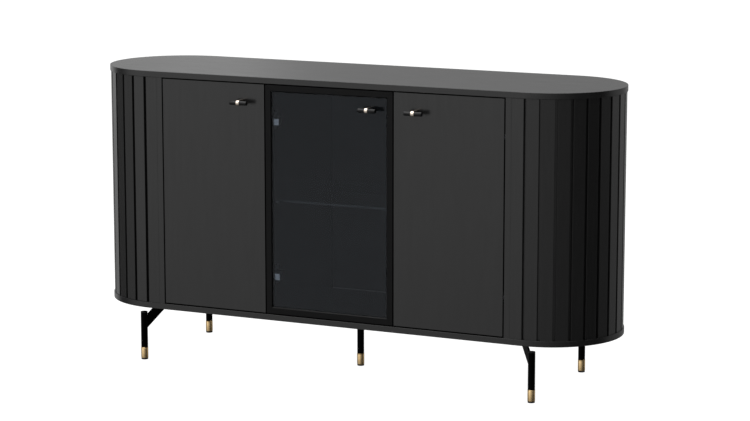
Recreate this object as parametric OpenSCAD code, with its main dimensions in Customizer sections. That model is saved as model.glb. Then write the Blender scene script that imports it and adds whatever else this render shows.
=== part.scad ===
// Sideboard with rounded, slatted ends, three doors and a metal leg frame.
// The origin is on the floor under the middle of the board outline. The doors face -Y.

/* [Body] */
// Overall width
total_w = 1500; // [1400:10:1700]
// Overall depth, which is also the width of each half-round end
total_d = 400; // [400:5:440]
// Height of the body without its legs
body_h = 658; // [600:1:760]
// Height of the underside of the body above the floor
leg_h = 150; // [125:1:180]
// Thickness of the boards
board_t = 16; // [15:0.5:19]
// How far doors and slats stand back from the edge of the top board
face_inset = 2; // [1:0.5:4]
// Thickness of the hardboard back
back_t = 3; // [2.5:0.5:4]

/* [Doors] */
// Distance from the door opening to where the half-round end begins
end_margin = 47; // [40:1:70]
// Width of the glass door
glass_door_w = 373; // [340:1:400]
// Gap around each door
door_gap = 3.5; // [3:0.5:4]
// Gap above and below each door
door_end_gap = 3; // [2:0.5:4]
// Width of the frame bars of the glass door
frame_bar_w = 18; // [17:0.5:22]
// Thickness of the glass in the door
pane_t = 4; // [3:0.5:5]
// How far the glass stands back from the front of its frame
pane_recess = 3; // [2.5:0.5:4]

/* [Slats] */
// Number of flat slats around each half-round end
slats_per_end = 15; // [11:1:19]
// Thickness of a slat, which is the depth of the grooves
slat_t = 8.5; // [6:0.5:12]
// Width of the groove between two slats
groove_w = 8; // [5:0.5:10]
// Where the first groove lies, in degrees round the end
first_groove_deg = 1.8; // [1:0.1:4]
// Thickness of the core behind the slats
core_t = 5; // [4:0.5:8]

/* [Shelves] */
// Height at which all the shelves rest, above the inside floor
shelf_rise = 303; // [220:1:340]
// Thickness of the glass shelf
glass_shelf_t = 6; // [5:1:8]

/* [Legs] */
// Diameter of a leg tube
tube_d = 19; // [18:0.5:22]
// How far the corner legs stand outside the start of the half-round end
leg_out = 26.5; // [10:0.5:32]
// How far the corner legs stand in from the front and back edges
leg_in = 14.5; // [14:0.5:40]
// Depth of the flat diagonal brace
brace_d = 27; // [20:1:30]
// Height of the brass ferrule
ferrule_h = 30; // [25:1:40]

/* [Handles] */
// Distance of a handle from the free edge of its door
handle_from_edge = 65; // [50:1:80]
// Distance of a handle from the top of its door
handle_from_top = 50; // [40:1:80]
// Length of the cross bar
bar_l = 50; // [40:1:60]
// Diameter of the cross bar
bar_d = 12; // [9:0.5:12]
// Height of the flat stem, which is the diameter of its rounded front
stem_h = 15; // [14:0.5:18]
// Width of the stem along the bar
stem_w = 8.5; // [7:0.5:12]

/* [Hidden] */

$fn = 48;
eps = 0.01;
slack = 0.1;                       // radial play of a fixed piece in its hole

// Levels and planes
floor_z = leg_h + board_t;         // inside floor of the body
ceil_z = leg_h + body_h - board_t; // inside ceiling of the body
end_r = total_d / 2;
end_x = total_w / 2 - end_r;       // centre of each half-round end
opening_half = end_x - end_margin;
face = end_r - face_inset;         // distance of the front plane from the middle
inner_back = face - back_t;        // where the boards end at the back

// Upright boards
upright_x = opening_half + board_t / 2;
outside_x = opening_half + board_t; // where the slatted ends begin
partition_x = glass_door_w / 2 + door_gap - 2;
partition_set_back = 2.5;          // from the back of the doors
partition_front = face - board_t - partition_set_back;

// Doors
door_z0 = floor_z + door_end_gap;
door_z1 = ceil_z - door_end_gap;
door_h = door_z1 - door_z0;
side_door_x = glass_door_w / 2 + door_gap;
side_door_w = opening_half - door_gap - side_door_x;
side_hinge_x = opening_half - door_gap;
glass_hinge_x = glass_door_w / 2;

// Hinges: places are measured from the front outer corner of the door
hinge_from_end = 100;
hinge_zs = [door_z0 + hinge_from_end, door_z1 - hinge_from_end];
pin_x = 4.5;
pin_y = 5.5;
pin_r = 1.3;
barrel_r = 2.6;
finger_half_z = 4;
finger_lean = 25;
ear_t = 2.5;
ear_r = 2.4;
ear_in_cup = 1.8;                  // how far the ears run on past the notch into a cup
ear_in_leaf = -1.6;
cup_flange_half = 15;
cup_wing_half = 6;
cup_wing_out = 6;
dish_shift = 4;                    // the hollow of a cup, off its middle
dish_floor = 1.5;
plate_head_r = 3.8;
plate_head_t = 2;
ear_gap = 0.3;
notch_half_z = finger_half_z + ear_gap + ear_t + 0.2;
notch_front = 2.4;
notch_w = 13;
cup_x = 22.5;
cup_r = 17.5;
dish_r = cup_r - 8;
cup_depth = 11;
flange_t = 1.5;
arm_x0 = 8.5;
arm_x1 = 16;
arm_y0 = board_t + 3;
arm_l = 45;
arm_half_z = 8.5;
plate_y0 = arm_y0 + 17;
plate_l = 20;
plate_half_z = 24;
plate_screw_z = 18;
plate_screw_r = 2;
plate_screw_in = 11;
side_wall_x = -door_gap;           // where the wall is that the plate is screwed to
middle_wall_x = glass_door_w / 2 - partition_x + board_t / 2;

// Glass door frame section
bevel = 2.5;
slot_depth = 5;
gasket_t = 0.6;
gasket_show = 2.5;
pane_edge = frame_bar_w - slot_depth + 0.5;
leaf_w = 18;

// Slats
groove_pitch = (180 - 2 * first_groove_deg) / slats_per_end;
core_face = face - slat_t;
facet_r = core_face / cos(first_groove_deg) * cos(groove_pitch / 2);
glue_t = 0.02;                      // between the core and a slat
slat_w = 2 * (facet_r + slat_t) * tan(groove_pitch / 2) - groove_w;
rib_t = board_t;
rib_wall = 60;

// Shelves
shelf_z = floor_z + shelf_rise;
shelf_side_play = 1;
shelf_front = face - 30;
glass_shelf_front = face - 38;
pin_ys = [-134, 125];
middle_pin_shift = 16;             // the middle bay's pins stand further forward
pin_row = 32;
pin_in = 8;
pin_out = 8;
shelf_pin_r = 2.5;

// Board fittings
cam_ys = [-140, 150];
dowel_ys = [-100, 110];
cam_r = 7.5;
cam_t = 12.5;
cam_from_end = 34;
bolt_r = 3.5;
bolt_in_panel = 11;
dowel_r = 4;
dowel_half = 15;
dowel_in_panel = dowel_half / 2 + 3;
dowel_l = 1.5 * dowel_half + 6;
cam_slot_l = 9;
cam_slot_w = 1.6;
bumper_r = 2.5;
bumper_gap = 0.2;                  // between a pad and the closed door
bumper_from_end = 160;
bumper_in = 3;                     // from the edge of the door to a pad
nail_step = 78;
nail_r = 0.8;
nail_in = 16;
nail_head_r = 2.2;
nail_head_t = 0.8;
nail_apart = 4;                    // half the distance of two nails in one partition

// Legs
glide_h = 4.5;
tube_wall = 1.5;
tube_top = leg_h - 17;
cap_t = 2;
leg_x = end_x + leg_out;
leg_y = end_r - leg_in;
ferrule_r = tube_d / 2 + 0.5;
ferrule_top = glide_h + ferrule_h;
brace_t = 5;
brace_rise = leg_h - 70;           // height of the brace's lower edge at the leg axis
plate_t = 3;
leg_plate_l = 60;
leg_plate_w = 44;
leg_plate_from = 34;
leg_screw_r = 2.1;
leg_screw_in = 12;
leg_head_r = 4;
leg_head_t = 2.2;
leg_screw_edge = 8;                // from the ends of a corner plate to its screws
leg_screw_y = 17;
cap_plug_l = 8;
ferrule_plug_l = 14;
stud_r = 3;                        // the stud of a glide
stud_l = 14;
stud_room = 16;
centre_plate_r = 36;
centre_screw_ring = 26;

// Handles
handle_z = door_z1 - handle_from_top;
bar_from_face = 23.5;
side_handle_x = side_door_x + handle_from_edge;
glass_handle_x = glass_door_w / 2 - handle_from_edge;
screw_r = 2;
screw_in_post = 12;
screw_head_r = 4;
screw_head_t = 2.5;

board_color = [0.20, 0.20, 0.20];
metal_color = [0.04, 0.04, 0.04];
brass_color = [0.78, 0.62, 0.36];
steel_color = [0.62, 0.64, 0.66];

// ---- helpers -------------------------------------------------------------

module mirrored_x(side) {
    if (side < 0) mirror([1, 0, 0]) children();
    else children();
}

module mirrored_y(side) {
    if (side < 0) mirror([0, 1, 0]) children();
    else children();
}

module mirrored_z(side) {
    if (side < 0) mirror([0, 0, 1]) children();
    else children();
}

module block(x0, x1, y0, y1, z0, z1) {
    translate([x0, y0, z0]) cube([x1 - x0, y1 - y0, z1 - z0]);
}

module along_x(r, l) {
    rotate([0, 90, 0]) cylinder(r = r, h = l);
}

module along_y(r, l) {
    rotate([-90, 0, 0]) cylinder(r = r, h = l);
}

// The outline of the top and bottom boards
module stadium(r) {
    square([2 * end_x, 2 * r], center = true);
    for (side = [-1, 1]) translate([side * end_x, 0]) circle(r = r, $fn = 96);
}

// Everything from here to the next heading is placed in a door's own corner:
// x runs from the hinged edge into the door, y from its front to its back.
module at_left_hinge() {
    translate([-side_hinge_x, -face, 0]) children();
}

module at_right_hinge() {
    mirror([1, 0, 0]) at_left_hinge() children();
}

module at_glass_hinge() {
    translate([-glass_hinge_x, -face, 0]) children();
}

module at_hinges() {
    for (z = hinge_zs) translate([0, 0, z]) children();
}

// ---- boards --------------------------------------------------------------

module panel_holes(z_face, dir) {
    for (x = [-upright_x, -partition_x, partition_x, upright_x]) {
        for (y = cam_ys) translate([x, y, z_face])
            mirrored_z(dir) cylinder(r = bolt_r + slack, h = bolt_in_panel + 0.5);
        for (y = dowel_ys) translate([x, y, z_face])
            mirrored_z(dir) cylinder(r = dowel_r + slack, h = dowel_half / 2 + 3.5);
    }
}

module top_panel() {
    color(board_color) difference() {
        translate([0, 0, ceil_z]) linear_extrude(board_t) stadium(end_r);
        translate([0, 0, -eps]) panel_holes(ceil_z, 1);
    }
}

module bottom_panel() {
    color(board_color) difference() {
        translate([0, 0, leg_h]) linear_extrude(board_t) stadium(end_r);
        translate([0, 0, eps]) panel_holes(floor_z, -1);
        leg_screw_places() translate([0, 0, leg_h - eps])
            cylinder(r = leg_screw_r + slack, h = 13);
    }
}

// Holes in a board whose inside face is at x = 0 and whose thickness runs to -x
module fitting_holes() {
    for (end = [0, 1]) {
        z_end = end ? ceil_z : floor_z;
        dir = end ? -1 : 1;
        for (y = cam_ys) {
            translate([-cam_t - 0.3, y, z_end + dir * cam_from_end])
                along_x(cam_r + slack, cam_t + 1);
            translate([-board_t / 2, y, z_end - dir * eps])
                mirrored_z(dir) cylinder(r = bolt_r + slack, h = cam_from_end - cam_r + 1);
        }
        for (y = dowel_ys) translate([-board_t / 2, y, z_end - dir * eps])
            mirrored_z(dir) cylinder(r = dowel_r + slack, h = dowel_half + 3.5);
    }
}

module pin_holes() {
    for (y = pin_ys, row = [-1, 0, 1])
        translate([-pin_in, y, shelf_z - shelf_pin_r + row * pin_row])
            along_x(shelf_pin_r + slack, pin_in + 1);
}

module upright(side) {
    color(board_color) mirrored_x(side) difference() {
        block(opening_half, outside_x, -face, inner_back, floor_z, ceil_z);
        translate([opening_half, 0, 0]) mirror([1, 0, 0]) {
            fitting_holes();
            pin_holes();
        }
        at_right_hinge() at_hinges() plate_screw_holes(side_wall_x);
        nail_holes();
    }
}

// The fittings and one row of shelf pins are on the side that faces away from the middle
module partition(side) {
    outer = partition_x + board_t / 2;
    inner = partition_x - board_t / 2;
    color(board_color) mirrored_x(side) difference() {
        block(inner, outer, -partition_front, inner_back, floor_z, ceil_z);
        translate([outer, 0, 0]) {
            fitting_holes();
            pin_holes();
        }
        translate([inner, 0, 0]) mirror([1, 0, 0]) pin_holes_middle();
        if (side < 0) mirror([1, 0, 0]) at_glass_hinge() at_hinges()
            plate_screw_holes(middle_wall_x);
        nail_holes();
    }
}

// The middle bay's pins are set further forward, so that the holes don't meet
module pin_holes_middle() {
    translate([0.5, -middle_pin_shift, 0]) pin_holes();
}

module each_nail() {
    for (side = [-1, 1], x = [partition_x - nail_apart, partition_x + nail_apart, upright_x],
         z = [floor_z + 40 : nail_step : ceil_z - 30])
        translate([side * x, face, z]) children();
}

module nail_holes() {
    each_nail() translate([0, -nail_in - slack, 0]) along_y(nail_r + slack, nail_in + 1);
}

module back_panel(x0, x1) {
    color([0.14, 0.14, 0.14]) difference() {
        block(x0, x1, inner_back, face, floor_z + 0.5, ceil_z - 0.5);
        nail_holes();
    }
}

module side_shelf(side) {
    color(board_color) mirrored_x(side)
        block(partition_x + board_t / 2 + shelf_side_play, opening_half - shelf_side_play,
              -shelf_front, inner_back - 2, shelf_z, shelf_z + board_t);
}

module glass_shelf() {
    half = partition_x - board_t / 2 - shelf_side_play;
    color([0.55, 0.65, 0.68, 0.5])
        block(-half, half, -glass_shelf_front, inner_back - 4, shelf_z, shelf_z + glass_shelf_t);
}

module shelf_pin() {
    translate([-pin_in, 0, -shelf_pin_r]) along_x(shelf_pin_r, pin_in + pin_out);
}

module shelf_pins() {
    color(steel_color) for (y = pin_ys) {
        for (side = [-1, 1]) mirrored_x(side) {
            translate([partition_x + board_t / 2, y, shelf_z]) shelf_pin();
            translate([opening_half, y, shelf_z]) mirror([1, 0, 0]) shelf_pin();
            translate([partition_x - board_t / 2, y - middle_pin_shift, shelf_z])
                mirror([1, 0, 0]) translate([0.5, 0, 0]) shelf_pin();
        }
    }
}

// ---- board fittings ------------------------------------------------------

module each_fitting_board() {
    for (side = [-1, 1]) mirrored_x(side) {
        translate([opening_half, 0, 0]) mirror([1, 0, 0]) children();
        translate([partition_x + board_t / 2, 0, 0]) children();
    }
}

module cam_locks() {
    color(steel_color) each_fitting_board() for (y = cam_ys, end = [0, 1]) {
        z = end ? ceil_z - cam_from_end : floor_z + cam_from_end;
        translate([-cam_t, y, z]) difference() {
            along_x(cam_r, cam_t);
            translate([cam_t, 0, 0]) cube([2, cam_slot_l, cam_slot_w], center = true);
            translate([cam_t, 0, 0]) cube([2, cam_slot_w, cam_slot_l], center = true);
        }
    }
}

module cam_bolts() {
    color(steel_color) each_fitting_board() for (y = cam_ys, end = [0, 1]) {
        z_end = end ? ceil_z : floor_z;
        dir = end ? -1 : 1;
        translate([-board_t / 2, y, z_end]) mirrored_z(dir)
            translate([0, 0, -bolt_in_panel])
                cylinder(r = bolt_r, h = bolt_in_panel + cam_from_end - cam_r - 0.5);
    }
}

module dowels() {
    color([0.80, 0.66, 0.46]) each_fitting_board() for (y = dowel_ys, end = [0, 1]) {
        z_end = end ? ceil_z : floor_z;
        dir = end ? -1 : 1;
        translate([-board_t / 2, y, z_end]) mirrored_z(dir)
            translate([0, 0, -dowel_in_panel]) cylinder(r = dowel_r, h = dowel_l);
    }
}

// Nails along the back edge of each upright board
module back_nails() {
    color(steel_color) each_nail() {
        translate([0, -nail_in, 0]) along_y(nail_r, nail_in + eps);
        along_y(nail_head_r, nail_head_t);
    }
}

// Soft pads on the partition edges that the doors close against
module door_bumpers() {
    pad_l = partition_set_back - bumper_gap;
    color([0.75, 0.75, 0.75])
        for (x = [-side_door_x - bumper_in, side_door_x + bumper_in, glass_door_w / 2 - bumper_in],
             z = [door_z0 + bumper_from_end, door_z1 - bumper_from_end])
            translate([x, -partition_front - pad_l, z]) along_y(bumper_r, pad_l);
}

// ---- slatted ends --------------------------------------------------------

// Corner points of a many-sided half-round end whose straight sides are at y = +-d
// and start at x0
function end_outline(d, x0) = concat(
    [[x0, -d]],
    [for (k = [0 : slats_per_end])
        let (a = first_groove_deg + k * groove_pitch, r = d / cos(first_groove_deg))
        [end_x + r * sin(a), -r * cos(a)]],
    [[x0, d]]
);

module end_core(side) {
    color(board_color) mirrored_x(side) translate([0, 0, floor_z])
        linear_extrude(ceil_z - floor_z) difference() {
            polygon(end_outline(core_face, outside_x));
            polygon(end_outline(core_face - core_t, outside_x - 1));
        }
}

module end_ribs(side) {
    middle_z = (floor_z + ceil_z - rib_t) / 2;
    color([0.62, 0.52, 0.38]) mirrored_x(side)
        for (z = [floor_z, middle_z, ceil_z - rib_t]) translate([0, 0, z])
            linear_extrude(rib_t) difference() {
                polygon(end_outline(core_face - core_t, outside_x));
                translate([end_x, 0]) circle(r = core_face - core_t - rib_wall);
            }
}

module slats(side) {
    straight_end = end_x + (core_face + slat_t) * sin(first_groove_deg) - groove_w / 2;
    color(board_color) mirrored_x(side) {
        for (k = [0 : slats_per_end - 1])
            translate([end_x, 0, floor_z])
                rotate([0, 0, first_groove_deg + (k + 0.5) * groove_pitch])
                    translate([-slat_w / 2, -facet_r - slat_t - glue_t, 0])
                        cube([slat_w, slat_t, ceil_z - floor_z]);
        for (side_y = [-1, 1]) mirrored_y(side_y)
            block(outside_x, straight_end, core_face + glue_t, face, floor_z, ceil_z);
    }
}

// ---- legs ----------------------------------------------------------------

// Turns a corner leg's own x axis along the diagonal that runs inward
module at_corner(sx, sy) {
    translate([sx * leg_x, sy * leg_y, 0]) rotate([0, 0, atan2(-sy, -sx)]) children();
}

module at_corners() {
    for (sx = [-1, 1], sy = [-1, 1]) at_corner(sx, sy) children();
}

module at_legs() {
    at_corners() children();
    children();
}

module corner_screw_places() {
    at_corners()
        for (x = [leg_plate_from + leg_screw_edge, leg_plate_from + leg_plate_l - leg_screw_edge],
             y = [-leg_screw_y, leg_screw_y])
            translate([x, y, 0]) children();
}

module leg_screw_places() {
    corner_screw_places() children();
    for (a = [45 : 90 : 315]) rotate([0, 0, a]) translate([centre_screw_ring, 0, 0]) children();
}

module tube(z1) {
    translate([0, 0, ferrule_top]) cylinder(d = tube_d, h = z1 - ferrule_top);
}

module tube_bore(z1) {
    translate([0, 0, ferrule_top - 1])
        cylinder(d = tube_d - 2 * tube_wall, h = z1 - ferrule_top + 1 + eps);
}

// A flat bar on edge that rises at 45 degrees from the tube to the plate
module brace() {
    edge = brace_d * sqrt(2);
    z1 = leg_h - plate_t;
    run = z1 - brace_rise;
    translate([0, brace_t / 2, 0]) rotate([90, 0, 0]) linear_extrude(brace_t)
        polygon([[0, brace_rise], [run, z1], [run - edge, z1], [0, brace_rise + edge]]);
}

module corner_leg(sx, sy) {
    color(metal_color) at_corner(sx, sy) difference() {
        union() {
            tube(tube_top);
            brace();
            translate([leg_plate_from, -leg_plate_w / 2, leg_h - plate_t])
                cube([leg_plate_l, leg_plate_w, plate_t]);
        }
        tube_bore(tube_top);
        for (x = [leg_plate_from + leg_screw_edge, leg_plate_from + leg_plate_l - leg_screw_edge],
             y = [-leg_screw_y, leg_screw_y])
            translate([x, y, leg_h - plate_t - 1]) cylinder(r = leg_screw_r + slack, h = plate_t + 2);
    }
}

module centre_leg() {
    z1 = leg_h - plate_t;
    color(metal_color) difference() {
        union() {
            tube(z1);
            translate([0, 0, z1]) cylinder(r = centre_plate_r, h = plate_t);
        }
        tube_bore(z1 - 2);
        for (a = [45 : 90 : 315]) rotate([0, 0, a]) translate([centre_screw_ring, 0, z1 - 1])
            cylinder(r = leg_screw_r + slack, h = plate_t + 2);
    }
}

module leg_caps() {
    plug_r = tube_d / 2 - tube_wall - slack;
    color(metal_color) at_corners() {
        translate([0, 0, tube_top]) cylinder(d = tube_d, h = cap_t);
        translate([0, 0, tube_top - cap_plug_l]) cylinder(r = plug_r, h = cap_plug_l + eps);
    }
}

module leg_ferrules() {
    plug_r = tube_d / 2 - tube_wall - slack;
    color(brass_color) at_legs() difference() {
        union() {
            translate([0, 0, glide_h]) cylinder(r = ferrule_r, h = ferrule_h);
            translate([0, 0, ferrule_top - eps]) cylinder(r = plug_r, h = ferrule_plug_l);
        }
        translate([0, 0, glide_h - 1]) cylinder(r = stud_r + slack, h = stud_room + 1);
    }
}

module leg_glides() {
    color([0.05, 0.05, 0.05]) at_legs() {
        cylinder(d = tube_d, h = glide_h);
        translate([0, 0, glide_h - eps]) cylinder(r = stud_r, h = stud_l);
    }
}

module leg_screws() {
    color(steel_color) leg_screw_places() {
        translate([0, 0, leg_h - plate_t - leg_head_t]) cylinder(r = leg_head_r, h = leg_head_t);
        translate([0, 0, leg_h - plate_t - eps]) cylinder(r = leg_screw_r, h = plate_t + leg_screw_in);
    }
}

// ---- hinges --------------------------------------------------------------

// The fixed half: an arm along the side wall and a finger that holds the pin
module hinge_arm() {
    difference() {
        union() {
            block(arm_x0, arm_x1, arm_y0, arm_y0 + arm_l, -arm_half_z, arm_half_z);
            translate([pin_x, pin_y, -finger_half_z]) {
                cylinder(r = barrel_r, h = 2 * finger_half_z);
                rotate([0, 0, -finger_lean]) translate([-barrel_r, 0, 0])
                    cube([2 * barrel_r, arm_y0 - pin_y + 3, 2 * finger_half_z]);
            }
        }
        translate([pin_x, pin_y, -finger_half_z - 1])
            cylinder(r = pin_r + 0.05, h = 2 * finger_half_z + 2);
    }
}

// The two ears that hold the pin's ends on the door
module hinge_ears(x1, y1) {
    for (side = [-1, 1]) mirrored_z(side) translate([0, 0, finger_half_z + ear_gap]) {
        translate([pin_x, pin_y, 0]) cylinder(r = ear_r, h = ear_t);
        block(pin_x, x1, pin_y - ear_r, y1, 0, ear_t);
    }
}

// What the pin takes up in the moving half
module pin_room() {
    translate([pin_x, pin_y, -notch_half_z]) cylinder(r = pin_r + 0.02, h = 2 * notch_half_z);
}

module finger_room() {
    block(-1, notch_w, -1, board_t + 4, -finger_half_z - ear_gap, finger_half_z + ear_gap);
}

// The moving half for a board door: a round cup let into its back
module hinge_cup() {
    difference() {
        union() {
            hinge_ears(notch_w + ear_in_cup, board_t - 1);
            translate([cup_x, board_t - cup_depth, 0]) along_y(cup_r, cup_depth);
            block(cup_x - cup_flange_half, cup_x + cup_flange_half, board_t, board_t + flange_t,
                  -arm_half_z, arm_half_z);
            block(cup_x - cup_wing_half, cup_x + cup_wing_half, board_t, board_t + flange_t,
                  -cup_r - cup_wing_out, cup_r + cup_wing_out);
        }
        finger_room();
        pin_room();
        translate([cup_x + dish_shift, board_t - cup_depth + dish_floor, 0]) along_y(dish_r, cup_depth + 2);
    }
}

// The moving half for the narrow frame: a block behind the glass
module hinge_leaf() {
    x1 = frame_bar_w + leaf_w;
    difference() {
        union() {
            hinge_ears(notch_w + ear_in_leaf, board_t - 1);
            block(pin_x + 2, x1, board_t / 2 + 0.5, board_t, -notch_half_z + 0.2, notch_half_z - 0.2);
            block(frame_bar_w + 0.2, x1, board_t / 2, board_t + flange_t, -arm_half_z, arm_half_z);
            block(notch_w - 4, x1, board_t, board_t + flange_t, -arm_half_z, arm_half_z);
        }
        finger_room();
        pin_room();
    }
}

module hinge_pin() {
    half = finger_half_z + ear_gap + ear_t;
    translate([pin_x, pin_y, -half]) cylinder(r = pin_r, h = 2 * half);
}

// Room for a hinge in the door's hinged edge, open to the back
module hinge_notch() {
    block(-1, notch_w + 2, notch_front, board_t + 1, -notch_half_z, notch_half_z);
}

module hinge_plate(wall_x) {
    difference() {
        block(wall_x, arm_x0, plate_y0, plate_y0 + plate_l, -plate_half_z, plate_half_z);
        at_plate_screws() translate([wall_x - 1, 0, 0])
            along_x(plate_screw_r + slack, arm_x0 - wall_x + 2);
    }
}

module at_plate_screws() {
    for (z = [-plate_screw_z, plate_screw_z]) translate([0, plate_y0 + plate_l / 2, z]) children();
}

module hinge_plate_screw(wall_x) {
    at_plate_screws() {
        translate([wall_x - plate_screw_in, 0, 0])
            along_x(plate_screw_r, arm_x0 - wall_x + plate_screw_in + eps);
        translate([arm_x0, 0, 0]) along_x(plate_head_r, plate_head_t);
    }
}

module plate_screw_holes(wall_x) {
    at_plate_screws() translate([wall_x - plate_screw_in - slack, 0, 0])
        along_x(plate_screw_r + slack, plate_screw_in + 1);
}

module left_hinge_arms() { color(steel_color) at_left_hinge() at_hinges() hinge_arm(); }
module right_hinge_arms() { color(steel_color) at_right_hinge() at_hinges() hinge_arm(); }
module glass_hinge_arms() { color(steel_color) at_glass_hinge() at_hinges() hinge_arm(); }

module hinge_plates() {
    color(steel_color) {
        at_left_hinge() at_hinges() hinge_plate(side_wall_x);
        at_right_hinge() at_hinges() hinge_plate(side_wall_x);
        at_glass_hinge() at_hinges() hinge_plate(middle_wall_x);
    }
}

module hinge_plate_screws() {
    color(steel_color) {
        at_left_hinge() at_hinges() hinge_plate_screw(side_wall_x);
        at_right_hinge() at_hinges() hinge_plate_screw(side_wall_x);
        at_glass_hinge() at_hinges() hinge_plate_screw(middle_wall_x);
    }
}

module left_hinge_cups() { color(steel_color) at_left_hinge() at_hinges() hinge_cup(); }
module right_hinge_cups() { color(steel_color) at_right_hinge() at_hinges() hinge_cup(); }
module glass_hinge_leaves() { color(steel_color) at_glass_hinge() at_hinges() hinge_leaf(); }
module left_hinge_pins() { color(steel_color) at_left_hinge() at_hinges() hinge_pin(); }
module right_hinge_pins() { color(steel_color) at_right_hinge() at_hinges() hinge_pin(); }
module glass_hinge_pins() { color(steel_color) at_glass_hinge() at_hinges() hinge_pin(); }

// ---- board doors ---------------------------------------------------------

module side_door_panel() {
    difference() {
        block(0, side_door_w, 0, board_t, door_z0, door_z1);
        at_hinges() {
            hinge_notch();
            translate([cup_x, board_t - cup_depth - 0.2, 0]) along_y(cup_r + slack, cup_depth + 2);
        }
        translate([side_door_w - handle_from_edge, -1, handle_z]) along_y(screw_r + 0.3, board_t + 2);
    }
}

module left_door_panel() { color(board_color) at_left_hinge() side_door_panel(); }
module right_door_panel() { color(board_color) at_right_hinge() side_door_panel(); }

// ---- handles: the origin is on the door's face, y runs into the door -----

// A flat stem on edge, with a rounded front that the bar passes through
module handle_post() {
    half = stem_w / 2;
    difference() {
        union() {
            translate([-half, -bar_from_face, 0]) along_x(stem_h / 2, stem_w);
            block(-half, half, -bar_from_face, 0, -stem_h / 2, stem_h / 2);
        }
        translate([-stem_w, -bar_from_face, 0]) along_x(bar_d / 2 + 0.05, 2 * stem_w);
        translate([0, -screw_in_post, 0]) along_y(screw_r + slack, screw_in_post + 1);
    }
}

module handle_bar() {
    translate([-bar_l / 2, -bar_from_face, 0]) along_x(bar_d / 2, bar_l);
}

module handle_screw(wall) {
    translate([0, -screw_in_post + 1, 0]) along_y(screw_r, screw_in_post - 1 + wall + eps);
    translate([0, wall, 0]) along_y(screw_head_r, screw_head_t);
}

module at_left_handle() { translate([-side_handle_x, -face, handle_z]) children(); }
module at_right_handle() { translate([side_handle_x, -face, handle_z]) children(); }
module at_glass_handle() { translate([glass_handle_x, -face + pane_recess, handle_z]) children(); }

module left_handle_bar() { color(metal_color) at_left_handle() handle_bar(); }
module right_handle_bar() { color(metal_color) at_right_handle() handle_bar(); }
module glass_handle_bar() { color(metal_color) at_glass_handle() handle_bar(); }
module left_handle_post() { color(brass_color) at_left_handle() handle_post(); }
module right_handle_post() { color(brass_color) at_right_handle() handle_post(); }
module glass_handle_post() { color(brass_color) at_glass_handle() handle_post(); }
module left_handle_screw() { color(steel_color) at_left_handle() handle_screw(board_t); }
module right_handle_screw() { color(steel_color) at_right_handle() handle_screw(board_t); }
module glass_handle_screw() { color(steel_color) at_glass_handle() handle_screw(pane_t); }

// ---- glass door: x from the hinged edge, y from the front, z from its bottom

// Section of a frame bar: x is the distance from the outer edge, y the depth
module bar_section() {
    slot_x = frame_bar_w - slot_depth;
    slot_y = pane_recess + pane_t + gasket_t;
    polygon([[0, 0], [frame_bar_w - bevel, 0], [frame_bar_w, bevel], [frame_bar_w, pane_recess],
             [slot_x, pane_recess], [slot_x, slot_y], [frame_bar_w, slot_y],
             [frame_bar_w, board_t], [0, board_t]]);
}

// A bar of length l along z, with both ends cut to a mitre
module mitred_bar(l) {
    intersection() {
        linear_extrude(l) bar_section();
        translate([0, board_t + 1, 0]) rotate([90, 0, 0]) linear_extrude(board_t + 2)
            polygon([[-1, -1], [frame_bar_w + 1, frame_bar_w + 1], [frame_bar_w + 1, l - frame_bar_w - 1],
                     [-1, l + 1]]);
    }
}

module glass_frame_stiles() {
    color(metal_color) translate([0, -face, 0]) {
        difference() {
            translate([-glass_hinge_x, 0, door_z0]) mitred_bar(door_h);
            translate([-glass_hinge_x, 0, 0]) at_hinges() {
                block(-1, notch_w - 1.2, notch_front, board_t + 1, -notch_half_z, notch_half_z);
                block(notch_w - 2, frame_bar_w + 1, board_t / 2 + 0.3, board_t + 1,
                      -notch_half_z, notch_half_z);
            }
        }
        mirror([1, 0, 0]) translate([-glass_hinge_x, 0, door_z0]) mitred_bar(door_h);
    }
}

module glass_frame_rails() {
    color(metal_color) translate([0, -face, 0]) {
        translate([glass_hinge_x, 0, door_z0]) rotate([0, -90, 0]) mitred_bar(glass_door_w);
        translate([-glass_hinge_x, 0, door_z1]) rotate([0, 90, 0]) mitred_bar(glass_door_w);
    }
}

module glass_pane() {
    x1 = glass_hinge_x - pane_edge;
    color([0.25, 0.27, 0.30, 0.5]) difference() {
        block(-x1, x1, -face + pane_recess, -face + pane_recess + pane_t,
              door_z0 + pane_edge, door_z1 - pane_edge);
        translate([glass_handle_x, -face, handle_z]) along_y(screw_r + 1, 12);
    }
}

module glass_gasket() {
    x1 = glass_hinge_x - pane_edge;
    x0 = glass_hinge_x - frame_bar_w - gasket_show;
    show = frame_bar_w + gasket_show;
    y0 = -face + pane_recess + pane_t;
    color([0.03, 0.03, 0.03]) difference() {
        block(-x1, x1, y0, y0 + gasket_t, door_z0 + pane_edge, door_z1 - pane_edge);
        block(-x0, x0, y0 - 1, y0 + gasket_t + 1, door_z0 + show, door_z1 - show);
    }
}

// ---- assembly ------------------------------------------------------------

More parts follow.
